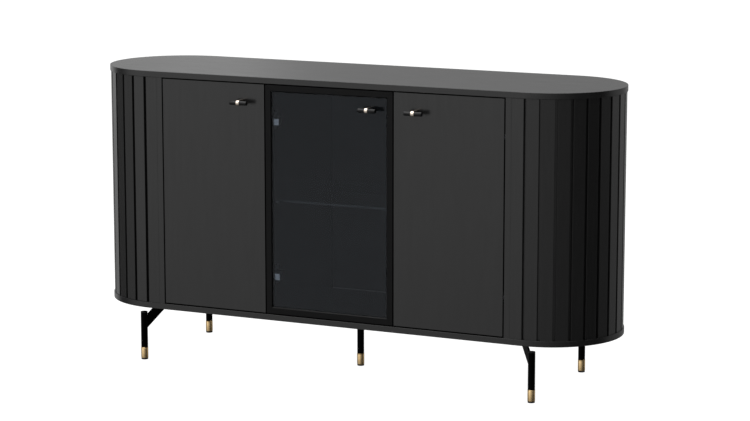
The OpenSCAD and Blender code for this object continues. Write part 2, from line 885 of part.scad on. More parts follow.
top_panel();
bottom_panel();
upright(-1);  // left_upright
upright(1);  // right_upright
partition(-1);  // left_partition
partition(1);  // right_partition
back_panel(-outside_x, -partition_x - 0.3);  // left_back_panel
back_panel(-partition_x + 0.3, partition_x - 0.3);  // middle_back_panel
back_panel(partition_x + 0.3, outside_x);  // right_back_panel
side_shelf(-1);  // left_shelf
side_shelf(1);  // right_shelf
glass_shelf();
shelf_pins();
end_core(-1);  // left_end_core
end_core(1);  // right_end_core
end_ribs(-1);  // left_end_ribs
end_ribs(1);  // right_end_ribs
slats(-1);  // left_slats
slats(1);  // right_slats
corner_leg(-1, -1);  // front_left_leg
corner_leg(1, -1);  // front_right_leg
corner_leg(-1, 1);  // rear_left_leg
corner_leg(1, 1);  // rear_right_leg
centre_leg();
leg_caps();
leg_ferrules();
leg_glides();
leg_screws();
cam_locks();
cam_bolts();
dowels();
back_nails();
door_bumpers();
left_hinge_arms();
glass_hinge_arms();
right_hinge_arms();
hinge_plates();
hinge_plate_screws();
left_door_panel();
left_handle_bar();
left_handle_post();
left_handle_screw();
left_hinge_cups();
left_hinge_pins();
right_door_panel();
right_handle_bar();
right_handle_post();
right_handle_screw();
right_hinge_cups();
right_hinge_pins();
glass_frame_stiles();
glass_frame_rails();
glass_pane();
glass_gasket();
glass_handle_bar();
glass_handle_post();
glass_handle_screw();
glass_hinge_leaves();
glass_hinge_pins();
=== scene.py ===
"""Looks of a long black sideboard with slatted round ends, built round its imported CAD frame."""

import logging
import math
from dataclasses import dataclass
from enum import Enum
from typing import Callable, Iterable, Sequence

import bmesh
import bpy
from mathutils import Euler, Matrix, Vector


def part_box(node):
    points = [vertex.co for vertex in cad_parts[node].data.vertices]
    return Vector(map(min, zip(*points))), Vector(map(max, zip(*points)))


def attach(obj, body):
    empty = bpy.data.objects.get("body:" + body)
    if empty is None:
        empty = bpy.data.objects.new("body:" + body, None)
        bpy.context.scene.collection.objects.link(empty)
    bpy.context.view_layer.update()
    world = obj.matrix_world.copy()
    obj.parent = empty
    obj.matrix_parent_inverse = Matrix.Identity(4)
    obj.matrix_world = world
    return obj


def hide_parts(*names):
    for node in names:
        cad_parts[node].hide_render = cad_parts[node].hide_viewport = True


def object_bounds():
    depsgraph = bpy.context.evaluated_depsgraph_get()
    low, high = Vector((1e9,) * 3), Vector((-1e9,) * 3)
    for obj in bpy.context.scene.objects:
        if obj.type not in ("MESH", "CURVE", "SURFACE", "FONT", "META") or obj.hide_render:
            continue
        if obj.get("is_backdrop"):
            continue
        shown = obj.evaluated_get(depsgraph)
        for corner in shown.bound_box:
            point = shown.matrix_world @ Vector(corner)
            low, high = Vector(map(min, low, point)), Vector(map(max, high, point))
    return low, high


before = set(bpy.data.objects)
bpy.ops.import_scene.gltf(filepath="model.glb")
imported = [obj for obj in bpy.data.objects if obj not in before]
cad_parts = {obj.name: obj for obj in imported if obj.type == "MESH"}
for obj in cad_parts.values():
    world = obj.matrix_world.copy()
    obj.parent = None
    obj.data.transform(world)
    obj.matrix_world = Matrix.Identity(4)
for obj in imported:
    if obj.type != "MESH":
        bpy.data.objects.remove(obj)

LOG = logging.getLogger("sideboard")
MM = 0.001
WELD = 1e-6
CURVE_STEPS = 64
SMOOTH_DEG = 35.0
FULL_TURN = 2 * math.pi

Point = tuple[float, float]
Colour = tuple[float, float, float]
Box = tuple[Vector, Vector]


def shaded(colour: Colour, factor: float) -> Colour:
    """A colour made darker or paler by a factor."""
    return tuple(min(1.0, c * factor) for c in colour)


class Body(Enum):
    """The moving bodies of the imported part."""

    CABINET = "cabinet"
    LEFT_DOOR = "left_door"
    GLASS_DOOR = "glass_door"
    RIGHT_DOOR = "right_door"


class Side(Enum):
    """Left or right half of the cabinet, as the sign of X."""

    LEFT = -1
    RIGHT = 1


class Grain(Enum):
    """Axis along which a finish is stretched."""

    X = 0
    Y = 1
    Z = 2


# ---------------------------------------------------------------- shader trees


class Tree:
    """Node tree of a material or a sky, with short ways to add what the finishes share."""

    NOISE_ROUGHNESS = 0.6

    def __init__(self, owner: bpy.types.Material | bpy.types.World) -> None:
        """Start an empty tree.

        Args:
            owner: material or sky that the tree belongs to.
        """
        owner.use_nodes = True
        self.owner = owner
        self.nodes = owner.node_tree.nodes
        self.links = owner.node_tree.links
        self.nodes.clear()

    @classmethod
    def material(cls, name: str) -> "Tree":
        """Empty tree of a new material."""
        return cls(bpy.data.materials.new(name))

    def add(self, kind: str, values: dict[str | int, object] | None = None,
            **settings: object) -> bpy.types.Node:
        """Add a node.

        Args:
            kind: type name of the node.
            values: values or sockets by the name or number of the input.
            settings: plain properties of the node.

        Returns:
            The new node.
        """
        node = self.nodes.new(kind)
        for key, value in settings.items():
            setattr(node, key, value)
        for key, value in (values or {}).items():
            self.feed(node, key, value)
        return node

    def feed(self, node: bpy.types.Node, key: str | int, value: object) -> None:
        """Link a socket to a node's input, or set the input's value.

        Args:
            node: node that is fed.
            key: name or number of its input.
            value: an output socket, or a plain value.
        """
        if isinstance(value, bpy.types.NodeSocket):
            self.links.new(value, node.inputs[key])
        else:
            node.inputs[key].default_value = value

    def place(self, scale: Sequence[float]) -> bpy.types.NodeSocket:
        """Object coordinates times a scale along each axis.

        Args:
            scale: repeats in a metre along X, Y and Z.

        Returns:
            The scaled vector.
        """
        coords = self.add("ShaderNodeTexCoord")
        mapping = self.add("ShaderNodeMapping", {"Vector": coords.outputs["Object"]})
        mapping.inputs["Scale"].default_value = scale
        return mapping.outputs["Vector"]

    def noise(self, scale: Sequence[float], detail: float = 4.0) -> bpy.types.NodeSocket:
        """Noise in object space.

        Args:
            scale: repeats in a metre along X, Y and Z.
            detail: number of finer layers.

        Returns:
            The noise value, 0 to 1.
        """
        values = {"Vector": self.place(scale), "Scale": 1.0, "Detail": detail,
                  "Roughness": self.NOISE_ROUGHNESS}
        return self.add("ShaderNodeTexNoise", values).outputs["Fac"]

    def even_noise(self, repeats: float, detail: float) -> bpy.types.NodeSocket:
        """Noise with the same scale along every axis."""
        return self.noise((repeats, repeats, repeats), detail)

    def remap(self, value: bpy.types.NodeSocket, low: float, high: float,
              start: float = 0.3, end: float = 0.7) -> bpy.types.NodeSocket:
        """Map a value onto another range.

        Args:
            value: socket to map.
            low: result at start.
            high: result at end.
            start: value that gives low.
            end: value that gives high.

        Returns:
            The mapped value.
        """
        values = {"Value": value, "From Min": start, "From Max": end, "To Min": low, "To Max": high}
        return self.add("ShaderNodeMapRange", values).outputs["Result"]

    def blend(self, share: object, first: object, second: object) -> bpy.types.NodeSocket:
        """Mix two colours.

        Args:
            share: 0 for the first colour, 1 for the second.
            first: a colour or a socket.
            second: a colour or a socket.

        Returns:
            The mixed colour.
        """
        node = self.add("ShaderNodeMix", data_type="RGBA")
        inputs = [s for s in node.inputs if s.type == "RGBA"]
        self.feed(node, "Factor", share)
        for socket, value in zip(inputs, (first, second)):
            if isinstance(value, bpy.types.NodeSocket):
                self.links.new(value, socket)
            else:
                socket.default_value = (*value, 1.0)
        return next(s for s in node.outputs if s.type == "RGBA")

    def product(self, first: bpy.types.NodeSocket, second: object) -> bpy.types.NodeSocket:
        """First value times the second.

        Args:
            first: a socket.
            second: a value or a socket.

        Returns:
            The product.
        """
        node = self.add("ShaderNodeMath", {0: first, 1: second}, operation="MULTIPLY")
        return node.outputs[0]

    def relief(self, height: bpy.types.NodeSocket, depth_mm: float) -> bpy.types.NodeSocket:
        """Normal that follows a height.

        Args:
            height: the height, 0 to 1.
            depth_mm: what a height of 1 stands for.

        Returns:
            The bumped normal.
        """
        values = {"Height": height, "Strength": 1.0, "Distance": depth_mm * MM}
        return self.add("ShaderNodeBump", values).outputs["Normal"]

    def close(self, shader: bpy.types.Node,
              output: str = "ShaderNodeOutputMaterial") -> bpy.types.Material | bpy.types.World:
        """Link the last shader to the output.

        Args:
            shader: node with the finished shader.
            output: type name of the output node.

        Returns:
            The material or sky.
        """
        self.add(output, {"Surface": shader.outputs[0]})
        return self.owner


# -------------------------------------------------------------------- finishes


@dataclass(frozen=True)
class Finish:
    """A finish of the record, with the name of its material slot."""

    slot: str

    def build(self) -> bpy.types.Material:
        """Material of this finish."""
        raise NotImplementedError


@dataclass(frozen=True)
class Laminate(Finish):
    """Matt graphite laminate with a faint stretched grain and pores."""

    colour: Colour = (0.0062, 0.0062, 0.0062)
    rough: Point = (0.21, 0.27)
    grain: Grain = Grain.Z
    relief_mm: float = 0.012
    fibre_along: float = 9.0
    fibre_across: float = 260.0
    clouds: float = 5.0
    cloud_share: float = 0.35
    pores: float = 900.0
    pore_share: float = 0.35
    shades: Point = (0.78, 1.22)

    def build(self) -> bpy.types.Material:
        """Make the laminate.

        Returns:
            Its material.
        """
        tree = Tree.material(self.slot + "_" + self.grain.name.lower())
        scale = [self.fibre_across] * 3
        scale[self.grain.value] = self.fibre_along
        fibre = tree.noise(scale, 5.0)
        clouds = tree.even_noise(self.clouds, 3.0)
        pores = tree.even_noise(self.pores, 2.0)
        deep, pale = (shaded(self.colour, shade) for shade in self.shades)
        base = tree.blend(tree.remap(fibre, 0.0, 1.0), deep, pale)
        share = tree.product(tree.remap(clouds, 0.0, 1.0), self.cloud_share)
        base = tree.blend(share, base, self.colour)
        height = tree.blend(self.pore_share, self.grey(tree, fibre), self.grey(tree, pores))
        shader = tree.add("ShaderNodeBsdfPrincipled", {
            "Base Color": base,
            "Roughness": tree.remap(fibre, self.rough[1], self.rough[0]),
            "Normal": tree.relief(height, self.relief_mm),
        })
        return tree.close(shader)

    @staticmethod
    def grey(tree: Tree, value: bpy.types.NodeSocket) -> bpy.types.NodeSocket:
        """A value as a grey colour.

        Args:
            tree: tree that gets the node.
            value: the value.

        Returns:
            The colour.
        """
        return tree.blend(value, (0.0, 0.0, 0.0), (1.0, 1.0, 1.0))


@dataclass(frozen=True)
class PowderCoat(Finish):
    """Matt black powder coat with orange peel and faint cloudy patches."""

    colour: Colour = (0.0011, 0.0011, 0.0012)
    specular: float = 0.13
    rough: Point = (0.27, 0.36)
    peel: float = 1400.0
    peel_mm: float = 0.006
    patches: float = 22.0
    patch_shade: float = 1.5

    def build(self) -> bpy.types.Material:
        """Make the coat.

        Returns:
            Its material.
        """
        tree = Tree.material(self.slot + "_coat")
        peel = tree.even_noise(self.peel, 2.0)
        patches = tree.even_noise(self.patches, 4.0)
        pale = shaded(self.colour, self.patch_shade)
        base = tree.blend(tree.remap(patches, 0.0, 1.0), self.colour, pale)
        shader = tree.add("ShaderNodeBsdfPrincipled", {
            "Base Color": base,
            "Roughness": tree.remap(patches, *self.rough),
            "Specular IOR Level": self.specular,
            "Normal": tree.relief(peel, self.peel_mm),
        })
        return tree.close(shader)


@dataclass(frozen=True)
class BrushedMetal(Finish):
    """Metal with fine brush marks that lie across one axis."""

    colour: Colour = (0.89, 0.64, 0.33)
    tarnish: Colour = (0.66, 0.43, 0.20)
    rough: Point = (0.22, 0.28)
    across: Grain = Grain.Z
    marks: float = 5000.0
    relief_mm: float = 0.0006
    tarnish_share: float = 0.12
    metal: float = 1.0
    marks_along: float = 70.0
    stains: float = 130.0
    stain_range: Point = (0.45, 0.8)

    def build(self) -> bpy.types.Material:
        """Make the metal.

        Returns:
            Its material.
        """
        tree = Tree.material(self.slot + "_" + self.across.name.lower())
        scale = [self.marks_along] * 3
        scale[self.across.value] = self.marks
        marks = tree.noise(scale, 3.0)
        stains = tree.even_noise(self.stains, 4.0)
        share = tree.product(tree.remap(stains, 0.0, 1.0, *self.stain_range), self.tarnish_share)
        shader = tree.add("ShaderNodeBsdfPrincipled", {
            "Base Color": tree.blend(share, self.colour, self.tarnish),
            "Metallic": self.metal,
            "Roughness": tree.remap(marks, *self.rough),
            "Normal": tree.relief(marks, self.relief_mm),
        })
        return tree.close(shader)


@dataclass(frozen=True)
class Moulded(Finish):
    """Moulded plastic, rubber or felt with a fine skin."""

    colour: Colour = (0.010, 0.010, 0.010)
    rough: Point = (0.45, 0.65)
    pits: float = 1800.0
    relief_mm: float = 0.01
    specular: float = 0.3
    dust: float = 45.0
    dust_shade: float = 1.35

    def build(self) -> bpy.types.Material:
        """Make the plastic.

        Returns:
            Its material.
        """
        tree = Tree.material(self.slot)
        pits = tree.even_noise(self.pits, 3.0)
        dust = tree.even_noise(self.dust, 5.0)
        pale = shaded(self.colour, self.dust_shade)
        shader = tree.add("ShaderNodeBsdfPrincipled", {
            "Base Color": tree.blend(tree.remap(dust, 0.0, 1.0), self.colour, pale),
            "Roughness": tree.remap(pits, *self.rough),
            "Specular IOR Level": self.specular,
            "Normal": tree.relief(pits, self.relief_mm),
        })
        return tree.close(shader)


@dataclass(frozen=True)
class RawWood(Finish):
    """Bare fibreboard, hardboard or beech with chips or grain."""

    dark: Colour = (0.30, 0.22, 0.13)
    light: Colour = (0.48, 0.37, 0.24)
    fibre: tuple[float, float, float] = (420.0, 420.0, 420.0)
    rough: Point = (0.62, 0.85)
    clouds: float = 14.0
    cloud_share: float = 0.3
    specular: float = 0.3
    relief_mm: float = 0.05

    def build(self) -> bpy.types.Material:
        """Make the wood.

        Returns:
            Its material.
        """
        tree = Tree.material(self.slot)
        fibre = tree.noise(self.fibre, 6.0)
        clouds = tree.even_noise(self.clouds, 3.0)
        base = tree.blend(tree.remap(fibre, 0.0, 1.0), self.dark, self.light)
        share = tree.product(tree.remap(clouds, 0.0, 1.0), self.cloud_share)
        base = tree.blend(share, base, self.dark)
        shader = tree.add("ShaderNodeBsdfPrincipled", {
            "Base Color": base,
            "Roughness": tree.remap(fibre, *self.rough),
            "Specular IOR Level": self.specular,
            "Normal": tree.relief(fibre, self.relief_mm),
        })
        return tree.close(shader)


@dataclass(frozen=True)
class PaneGlass(Finish):
    """Thin glass: tinted see-through under a mirror film with faint smears, and a painted reflection that
    grows stronger towards the bottom.
    """

    tint: Colour = (0.68, 0.71, 0.74)
    haze: Colour = (0.085, 0.095, 0.105)
    haze_share: float = 0.02
    index: float = 1.24
    rough: Point = (0.01, 0.045)
    # Painted reflection: how many times stronger the mirror film is at the pane's lower edge, fading to 1 at
    # its upper edge.
    painted_reflection_low: float = 1.4
    smears: Colour = (7.0, 7.0, 16.0)
    smear_end: float = 0.12
    smear_tint: Colour = (0.5, 0.5, 0.5)
    film: Colour = (0.92, 0.95, 1.0)

    def build(self) -> bpy.types.Material:
        """Make the glass.

        Returns:
            Its material.
        """
        tree = Tree.material(self.slot)
        smear = tree.noise(self.smears, 6.0)
        clear = tree.add("ShaderNodeBsdfTransparent", {
            "Color": tree.blend(tree.remap(smear, 0.0, self.smear_end), self.tint, self.smear_tint),
        })
        film = tree.add("ShaderNodeBsdfGlossy", {
            "Color": (*self.film, 1.0),
            "Roughness": tree.remap(smear, *self.rough),
        })
        edge = tree.add("ShaderNodeFresnel", {"IOR": self.index})
        low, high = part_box("glass_pane")
        place = tree.add("ShaderNodeSeparateXYZ", {"Vector": tree.place((1, 1, 1))})
        # Painted reflection: the film's share is raised towards the bottom of the pane.
        painted_reflection_ramp = tree.remap(place.outputs["Z"], self.painted_reflection_low, 1.0, low.z, high.z)
        mirror = tree.product(edge.outputs["Fac"], painted_reflection_ramp)
        dust = tree.add("ShaderNodeBsdfDiffuse", {"Color": (*self.haze, 1.0)})
        body = tree.add("ShaderNodeMixShader", {
            "Fac": self.haze_share, 1: clear.outputs["BSDF"], 2: dust.outputs["BSDF"],
        })
        mix = tree.add("ShaderNodeMixShader", {
            "Fac": mirror, 1: body.outputs["Shader"], 2: film.outputs["BSDF"],
        })
        return tree.close(mix)


@dataclass(frozen=True)
class StudioFloor:
    """Pale glowing studio floor, so that shadows stay faint."""

    colour: Colour = (0.12, 0.12, 0.12)
    glow: float = 0.99
    grit: float = 40.0
    grit_shade: float = 1.03
    grit_mm: float = 0.05
    rough: Point = (0.7, 0.9)

    def build(self) -> bpy.types.Material:
        """Make the floor.

        Returns:
            Its material.
        """
        tree = Tree.material("studio_floor")
        grit = tree.even_noise(self.grit, 4.0)
        pale = shaded(self.colour, self.grit_shade)
        shader = tree.add("ShaderNodeBsdfPrincipled", {
            "Base Color": tree.blend(grit, self.colour, pale),
            "Roughness": tree.remap(grit, *self.rough),
            "Emission Color": (1.0, 1.0, 1.0, 1.0),
            "Emission Strength": self.glow,
            "Normal": tree.relief(grit, self.grit_mm),
        })
        return tree.close(shader)


class Finishes:
    """Every finish of the cabinet, each built once."""

    def __init__(self) -> None:
        """Build the materials by short name."""
        looks: dict[str, Finish] = {
            "board_x": Laminate("black_board", grain=Grain.X),
            "board_y": Laminate("black_board", grain=Grain.Y),
            "board_z": Laminate("black_board", grain=Grain.Z),
            "slat": Laminate("slat_board", grain=Grain.Z),
            "back": RawWood("hardboard", (0.012, 0.012, 0.012), (0.03, 0.03, 0.03), rough=(0.5, 0.7)),
            "raw": RawWood("raw_board"),
            "beech": RawWood("beech", (0.42, 0.27, 0.14), (0.60, 0.43, 0.26), (900.0, 900.0, 60.0)),
            "clear": PaneGlass("clear_glass", (0.82, 0.90, 0.88), (0.30, 0.36, 0.34),
                               haze_share=0.06, index=1.5),
            "smoked": PaneGlass("smoked_glass"),
            "black_metal": PowderCoat("black_metal"),
            "leg_metal": PowderCoat("black_metal", (0.0004, 0.0004, 0.0004), specular=0.03),
            "bar_metal": PowderCoat("black_metal", (0.0013, 0.0013, 0.0014),
                                    specular=0.32, rough=(0.16, 0.22)),
            "black_plastic": Moulded("black_plastic", (0.006, 0.006, 0.006)),
            "rubber": Moulded("black_rubber", (0.008, 0.008, 0.008), (0.6, 0.8),
                              pits=900.0, relief_mm=0.02, specular=0.2),
            "felt": Moulded("felt_pad", (0.42, 0.42, 0.40), (0.8, 0.95),
                            pits=2600.0, relief_mm=0.08, specular=0.1),
            "brass_z": BrushedMetal("brass", metal=0.95),
            "brass_y": BrushedMetal("brass", (0.86, 0.75, 0.65), (0.67, 0.52, 0.40), across=Grain.Y),
            "zinc": BrushedMetal("zinc_steel", (0.60, 0.62, 0.64), (0.42, 0.43, 0.42), (0.22, 0.42),
                                 marks=3200.0),
            "nickel": BrushedMetal("nickel_steel", (0.62, 0.63, 0.66), (0.45, 0.45, 0.46), (0.25, 0.40),
                                   across=Grain.Y, marks=2400.0),
            "cast": BrushedMetal("zinc_cast", (0.52, 0.53, 0.54), (0.36, 0.36, 0.36), (0.38, 0.60),
                                 across=Grain.X, marks=700.0, relief_mm=0.01, tarnish_share=0.5),
        }
        self.slots = {key: look.slot for key, look in looks.items()}
        self.materials = {key: look.build() for key, look in looks.items()}


# ---------------------------------------------------------------------- meshes


class Shapes:
    """Plain mesh building in the cabinet's own frame, in metres."""

    FLAT_DEG = 0.5
    CORNER_SHARE = 0.49

    @staticmethod
    def copy(node: str) -> bmesh.types.BMesh:
        """A CAD node's faces, welded and with flat areas merged.

        Args:
            node: name of the CAD node.

        Returns:
            The faces as a new mesh.
        """
        bm = bmesh.new()
        bm.from_mesh(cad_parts[node].data)
        bmesh.ops.remove_doubles(bm, verts=bm.verts, dist=WELD)
        flat = math.radians(Shapes.FLAT_DEG)
        bmesh.ops.dissolve_limit(bm, angle_limit=flat, verts=bm.verts, edges=bm.edges)
        return bm

    @staticmethod
    def islands(node: str) -> list[Box]:
        """Boxes of the separate solids of a CAD node.

        Args:
            node: name of the CAD node.

        Returns:
            Lowest and highest corner of each solid, from left to right.
        """
        bm = bmesh.new()
        bm.from_mesh(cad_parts[node].data)
        bmesh.ops.remove_doubles(bm, verts=bm.verts, dist=WELD)
        todo = set(bm.verts)
        boxes = []
        while todo:
            edge = [todo.pop()]
            low = edge[0].co.copy()
            high = edge[0].co.copy()
            while edge:
                vert = edge.pop()
                low = Vector(map(min, low, vert.co))
                high = Vector(map(max, high, vert.co))
                near = [e.other_vert(vert) for e in vert.link_edges]
                edge.extend(v for v in near if v in todo)
                todo.difference_update(near)
            boxes.append((low, high))
        bm.free()
        return sorted(boxes, key=lambda box: tuple(round(c, 4) for c in box[0]))

    @staticmethod
    def block(low: Sequence[float], high: Sequence[float]) -> bmesh.types.BMesh:
        """A box between two corners.

        Args:
            low: lowest corner.
            high: highest corner.

        Returns:
            The box.
        """
        bm = bmesh.new()
        corners = [(x, y, z) for z in (low[2], high[2]) for y in (low[1], high[1]) for x in (low[0], high[0])]
        v = [bm.verts.new(c) for c in corners]
        for face in ((0, 2, 3, 1), (4, 5, 7, 6), (0, 1, 5, 4), (2, 6, 7, 3), (0, 4, 6, 2), (1, 3, 7, 5)):
            bm.faces.new([v[i] for i in face])
        return bm

    @staticmethod
    def slab(outline: Sequence[Point], low: float, high: float) -> bmesh.types.BMesh:
        """An upright prism.

        Args:
            outline: corners seen from above, anticlockwise.
            low: height of the underside.
            high: height of the upper side.

        Returns:
            The prism.
        """
        bm = bmesh.new()
        under = [bm.verts.new((x, y, low)) for x, y in outline]
        upper = [bm.verts.new((x, y, high)) for x, y in outline]
        bm.faces.new(list(reversed(under)))
        bm.faces.new(upper)
        count = len(outline)
        for i in range(count):
            j = (i + 1) % count
            bm.faces.new((under[i], under[j], upper[j], upper[i]))
        return bm

    @staticmethod
    def ring(bm: bmesh.types.BMesh, radius: float, height: float, steps: int) -> list[bmesh.types.BMVert]:
        """New points on a level circle round the Z axis.

        Args:
            bm: mesh that gets the points.
            radius: radius of the circle.
            height: height of the circle.
            steps: number of points.

        Returns:
            The points, anticlockwise from above.
        """
        turns = [FULL_TURN * k / steps for k in range(steps)]
        return [bm.verts.new((radius * math.cos(t), radius * math.sin(t), height)) for t in turns]

    @staticmethod
    def lathe(profile: Sequence[Point], steps: int = CURVE_STEPS) -> bmesh.types.BMesh:
        """A turned solid round the Z axis.

        Args:
            profile: radius and height of each point, from the lower to the upper end.
            steps: number of faces round the axis.

        Returns:
            The closed solid.
        """
        bm = bmesh.new()
        rings = []
        for radius, height in profile:
            if radius < WELD:
                rings.append([bm.verts.new((0.0, 0.0, height))])
                continue
            rings.append(Shapes.ring(bm, radius, height, steps))
        for below, above in zip(rings, rings[1:]):
            for k in range(steps):
                n = (k + 1) % steps
                corners = [below[k % len(below)], below[n % len(below)],
                           above[n % len(above)], above[k % len(above)]]
                face = list(dict.fromkeys(corners))
                if len(face) > 2:
                    bm.faces.new(face)
        return bm

    @staticmethod
    def merge(parts: Iterable[bmesh.types.BMesh]) -> bmesh.types.BMesh:
        """Several meshes as one.

        Args:
            parts: meshes, which are freed.

        Returns:
            The joined mesh.
        """
        whole = bmesh.new()
        for part in parts:
            step = bpy.data.meshes.new("step")
            part.to_mesh(step)
            part.free()
            whole.from_mesh(step)
            bpy.data.meshes.remove(step)
        return whole

    @staticmethod
    def moved(bm: bmesh.types.BMesh, matrix: Matrix) -> bmesh.types.BMesh:
        """The mesh after a move or a turn."""
        bmesh.ops.transform(bm, matrix=matrix, verts=bm.verts)
        return bm

    @staticmethod
    def rounded(points: Sequence[Point], radius: float, steps: int = 4) -> list[Point]:
        """A turned profile with its inner corners rounded off.

        Args:
            points: corners of the profile.
            radius: radius of each rounded corner.
            steps: points on each rounded corner.

        Returns:
            The finer profile.
        """
        made = [points[0]]
        for before, corner, after in zip(points, points[1:], points[2:]):
            c = Vector(corner)
            to_a = Vector(before) - c
            to_b = Vector(after) - c
            reach = min(radius, to_a.length * Shapes.CORNER_SHARE, to_b.length * Shapes.CORNER_SHARE)
            a = c + to_a.normalized() * reach
            b = c + to_b.normalized() * reach
            for k in range(steps + 1):
                t = k / steps
                p = a * (1 - t) ** 2 + c * 2 * t * (1 - t) + b * t ** 2
                made.append((p.x, p.y))
        made.append(points[-1])
        return made


class Workshop:
    """Turns meshes into finished pieces that ride on the frame."""

    EDGE_SEGMENTS = 3
    FLAT_FACE_WEIGHT = 100

    def __init__(self, finishes: Finishes) -> None:
        """Keep the finishes.

        Args:
            finishes: every material of the cabinet.
        """
        self.finishes = finishes

    def piece(self, name: str, bm: bmesh.types.BMesh, body: Body, look: str, nodes: Sequence[str],
              edge_mm: float = 0.0) -> None:
        """Make one piece from a mesh.

        Args:
            name: name of the piece.
            bm: its faces, which are freed.
            body: body that it rides on.
            look: short name of its finish.
            nodes: CAD nodes that it stands for.
            edge_mm: width of the rounding of its edges.
        """
        self.dress(self.shaped(name, bm, edge_mm), body, look, nodes)

    @staticmethod
    def shaped(name: str, bm: bmesh.types.BMesh, edge_mm: float) -> bpy.types.Object:
        """A mesh as a plain object, with rounded edges or else with sharp ones.

        Args:
            name: name of the object.
            bm: its faces, which are freed.
            edge_mm: width of the rounding of its edges, or 0.

        Returns:
            The object, still without a finish.
        """
        bmesh.ops.recalc_face_normals(bm, faces=bm.faces)
        mesh = bpy.data.meshes.new(name)
        bm.to_mesh(mesh)
        bm.free()
        raw = bpy.data.objects.new(name + "_raw", mesh)
        bpy.context.scene.collection.objects.link(raw)
        if edge_mm > 0:
            Workshop.round_edges(raw, edge_mm)
            return Workshop.plain(raw, name)
        done = Workshop.plain(raw, name)
        done.data.shade_smooth()
        done.data.set_sharp_from_angle(angle=math.radians(SMOOTH_DEG))
        return done

    @staticmethod
    def round_edges(raw: bpy.types.Object, edge_mm: float) -> None:
        """Round an object's sharp edges.

        Args:
            raw: object that gets the modifier.
            edge_mm: width of the rounding.
        """
        raw.data.shade_smooth()
        bevel = raw.modifiers.new("edges", "BEVEL")
        bevel.width = edge_mm * MM
        bevel.segments = Workshop.EDGE_SEGMENTS
        bevel.limit_method = "ANGLE"
        bevel.angle_limit = math.radians(SMOOTH_DEG)
        bevel.use_clamp_overlap = True
        flat = raw.modifiers.new("flat_faces", "WEIGHTED_NORMAL")
        flat.weight = Workshop.FLAT_FACE_WEIGHT

    @staticmethod
    def plain(raw: bpy.types.Object, name: str) -> bpy.types.Object:
        """The object as it is evaluated, as a plain mesh without modifiers.

        Args:
            raw: object with its modifiers, which is removed.
            name: name of the new object.

        Returns:
            The plain object.
        """
        graph = bpy.context.evaluated_depsgraph_get()
        mesh = bpy.data.meshes.new_from_object(raw.evaluated_get(graph), depsgraph=graph)
        mesh.name = name
        raw.modifiers.clear()
        bpy.data.objects.remove(raw)
        done = bpy.data.objects.new(name, mesh)
        bpy.context.scene.collection.objects.link(done)
        return done

    def dress(self, obj: bpy.types.Object, body: Body, look: str, nodes: Sequence[str]) -> None:
        """Give an object its finish and its place in the frame.

        Args:
            obj: the plain object.
            body: body that it rides on.
            look: short name of its finish.
            nodes: CAD nodes that it stands for.
        """
        obj.data.materials.clear()
        obj.data.materials.append(self.finishes.materials[look])
        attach(obj, body.value)
        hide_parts(*nodes)
        LOG.info("piece %s: %d faces on %s", obj.name, len(obj.data.polygons), body.value)

    def softened(self, node: str, body: Body, look: str, edge_mm: float) -> None:
        """Make a piece of a CAD node, with rounded edges and a finish.

        Args:
            node: name of the CAD node.
            body: body that it rides on.
            look: short name of its finish.
            edge_mm: width of the rounding of its edges.
        """
        self.piece(node + "_piece", Shapes.copy(node), body, look, [node], edge_mm)


# -------------------------------------------------------------- geometry nodes


class Repeater:
    """A Geometry Nodes group that repeats one mesh."""

    def __init__(self, name: str, inputs: Sequence[tuple[str, str]]) -> None:
        """Start the group.

        Args:
            name: name of the group.
            inputs: name and socket type of each input after the geometry.
        """
        self.tree = bpy.data.node_groups.new(name, "GeometryNodeTree")
        face = self.tree.interface
        face.new_socket("Geometry", in_out="INPUT", socket_type="NodeSocketGeometry")
        self.keys: dict[str, str] = {}
        for label, kind in inputs:
            self.keys[label] = face.new_socket(label, in_out="INPUT", socket_type=kind).identifier
        face.new_socket("Geometry", in_out="OUTPUT", socket_type="NodeSocketGeometry")
        self.source = self.node("NodeGroupInput")
        self.sink = self.node("NodeGroupOutput")

    def node(self, kind: str, **settings: object) -> bpy.types.Node:
        """Add a node.

        Args:
            kind: type name of the node.
            settings: plain properties of the node.

        Returns:
            The new node.
        """
        node = self.tree.nodes.new(kind)
        for key, value in settings.items():
            setattr(node, key, value)
        return node

    def link(self, a: bpy.types.NodeSocket, b: bpy.types.NodeSocket) -> None:
        """Link an output to an input."""
        self.tree.links.new(a, b)

    def close(self, points: bpy.types.NodeSocket, rotation: bpy.types.NodeSocket) -> None:
        """Set the piece on the points, and end in plain geometry with its material.

        Args:
            points: geometry with one point for each copy.
            rotation: turn of each copy.
        """
        info = self.node("GeometryNodeObjectInfo")
        self.link(self.source.outputs["Piece"], info.inputs["Object"])
        copies = self.node("GeometryNodeInstanceOnPoints")
        self.link(points, copies.inputs["Points"])
        self.link(info.outputs["Geometry"], copies.inputs["Instance"])
        self.link(rotation, copies.inputs["Rotation"])
        real = self.node("GeometryNodeRealizeInstances")
        self.link(copies.outputs["Instances"], real.inputs["Geometry"])
        paint = self.node("GeometryNodeSetMaterial")
        self.link(real.outputs["Geometry"], paint.inputs["Geometry"])
        self.link(self.source.outputs["Finish"], paint.inputs["Material"])
        self.link(paint.outputs["Geometry"], self.sink.inputs["Geometry"])

    def run(self, name: str, carrier: bpy.types.Mesh, values: dict[str, object]) -> bpy.types.Object:
        """Evaluate the group.

        Args:
            name: name of the result.
            carrier: mesh that carries the modifier.
            values: value of each named input.

        Returns:
            The result as a plain object.
        """
        raw = bpy.data.objects.new(name + "_raw", carrier)
        modifier = raw.modifiers.new("repeat", "NODES")
        modifier.node_group = self.tree
        for label, value in values.items():
            modifier[self.keys[label]] = value
        bpy.context.scene.collection.objects.link(raw)
        bpy.context.view_layer.update()
        return Workshop.plain(raw, name)


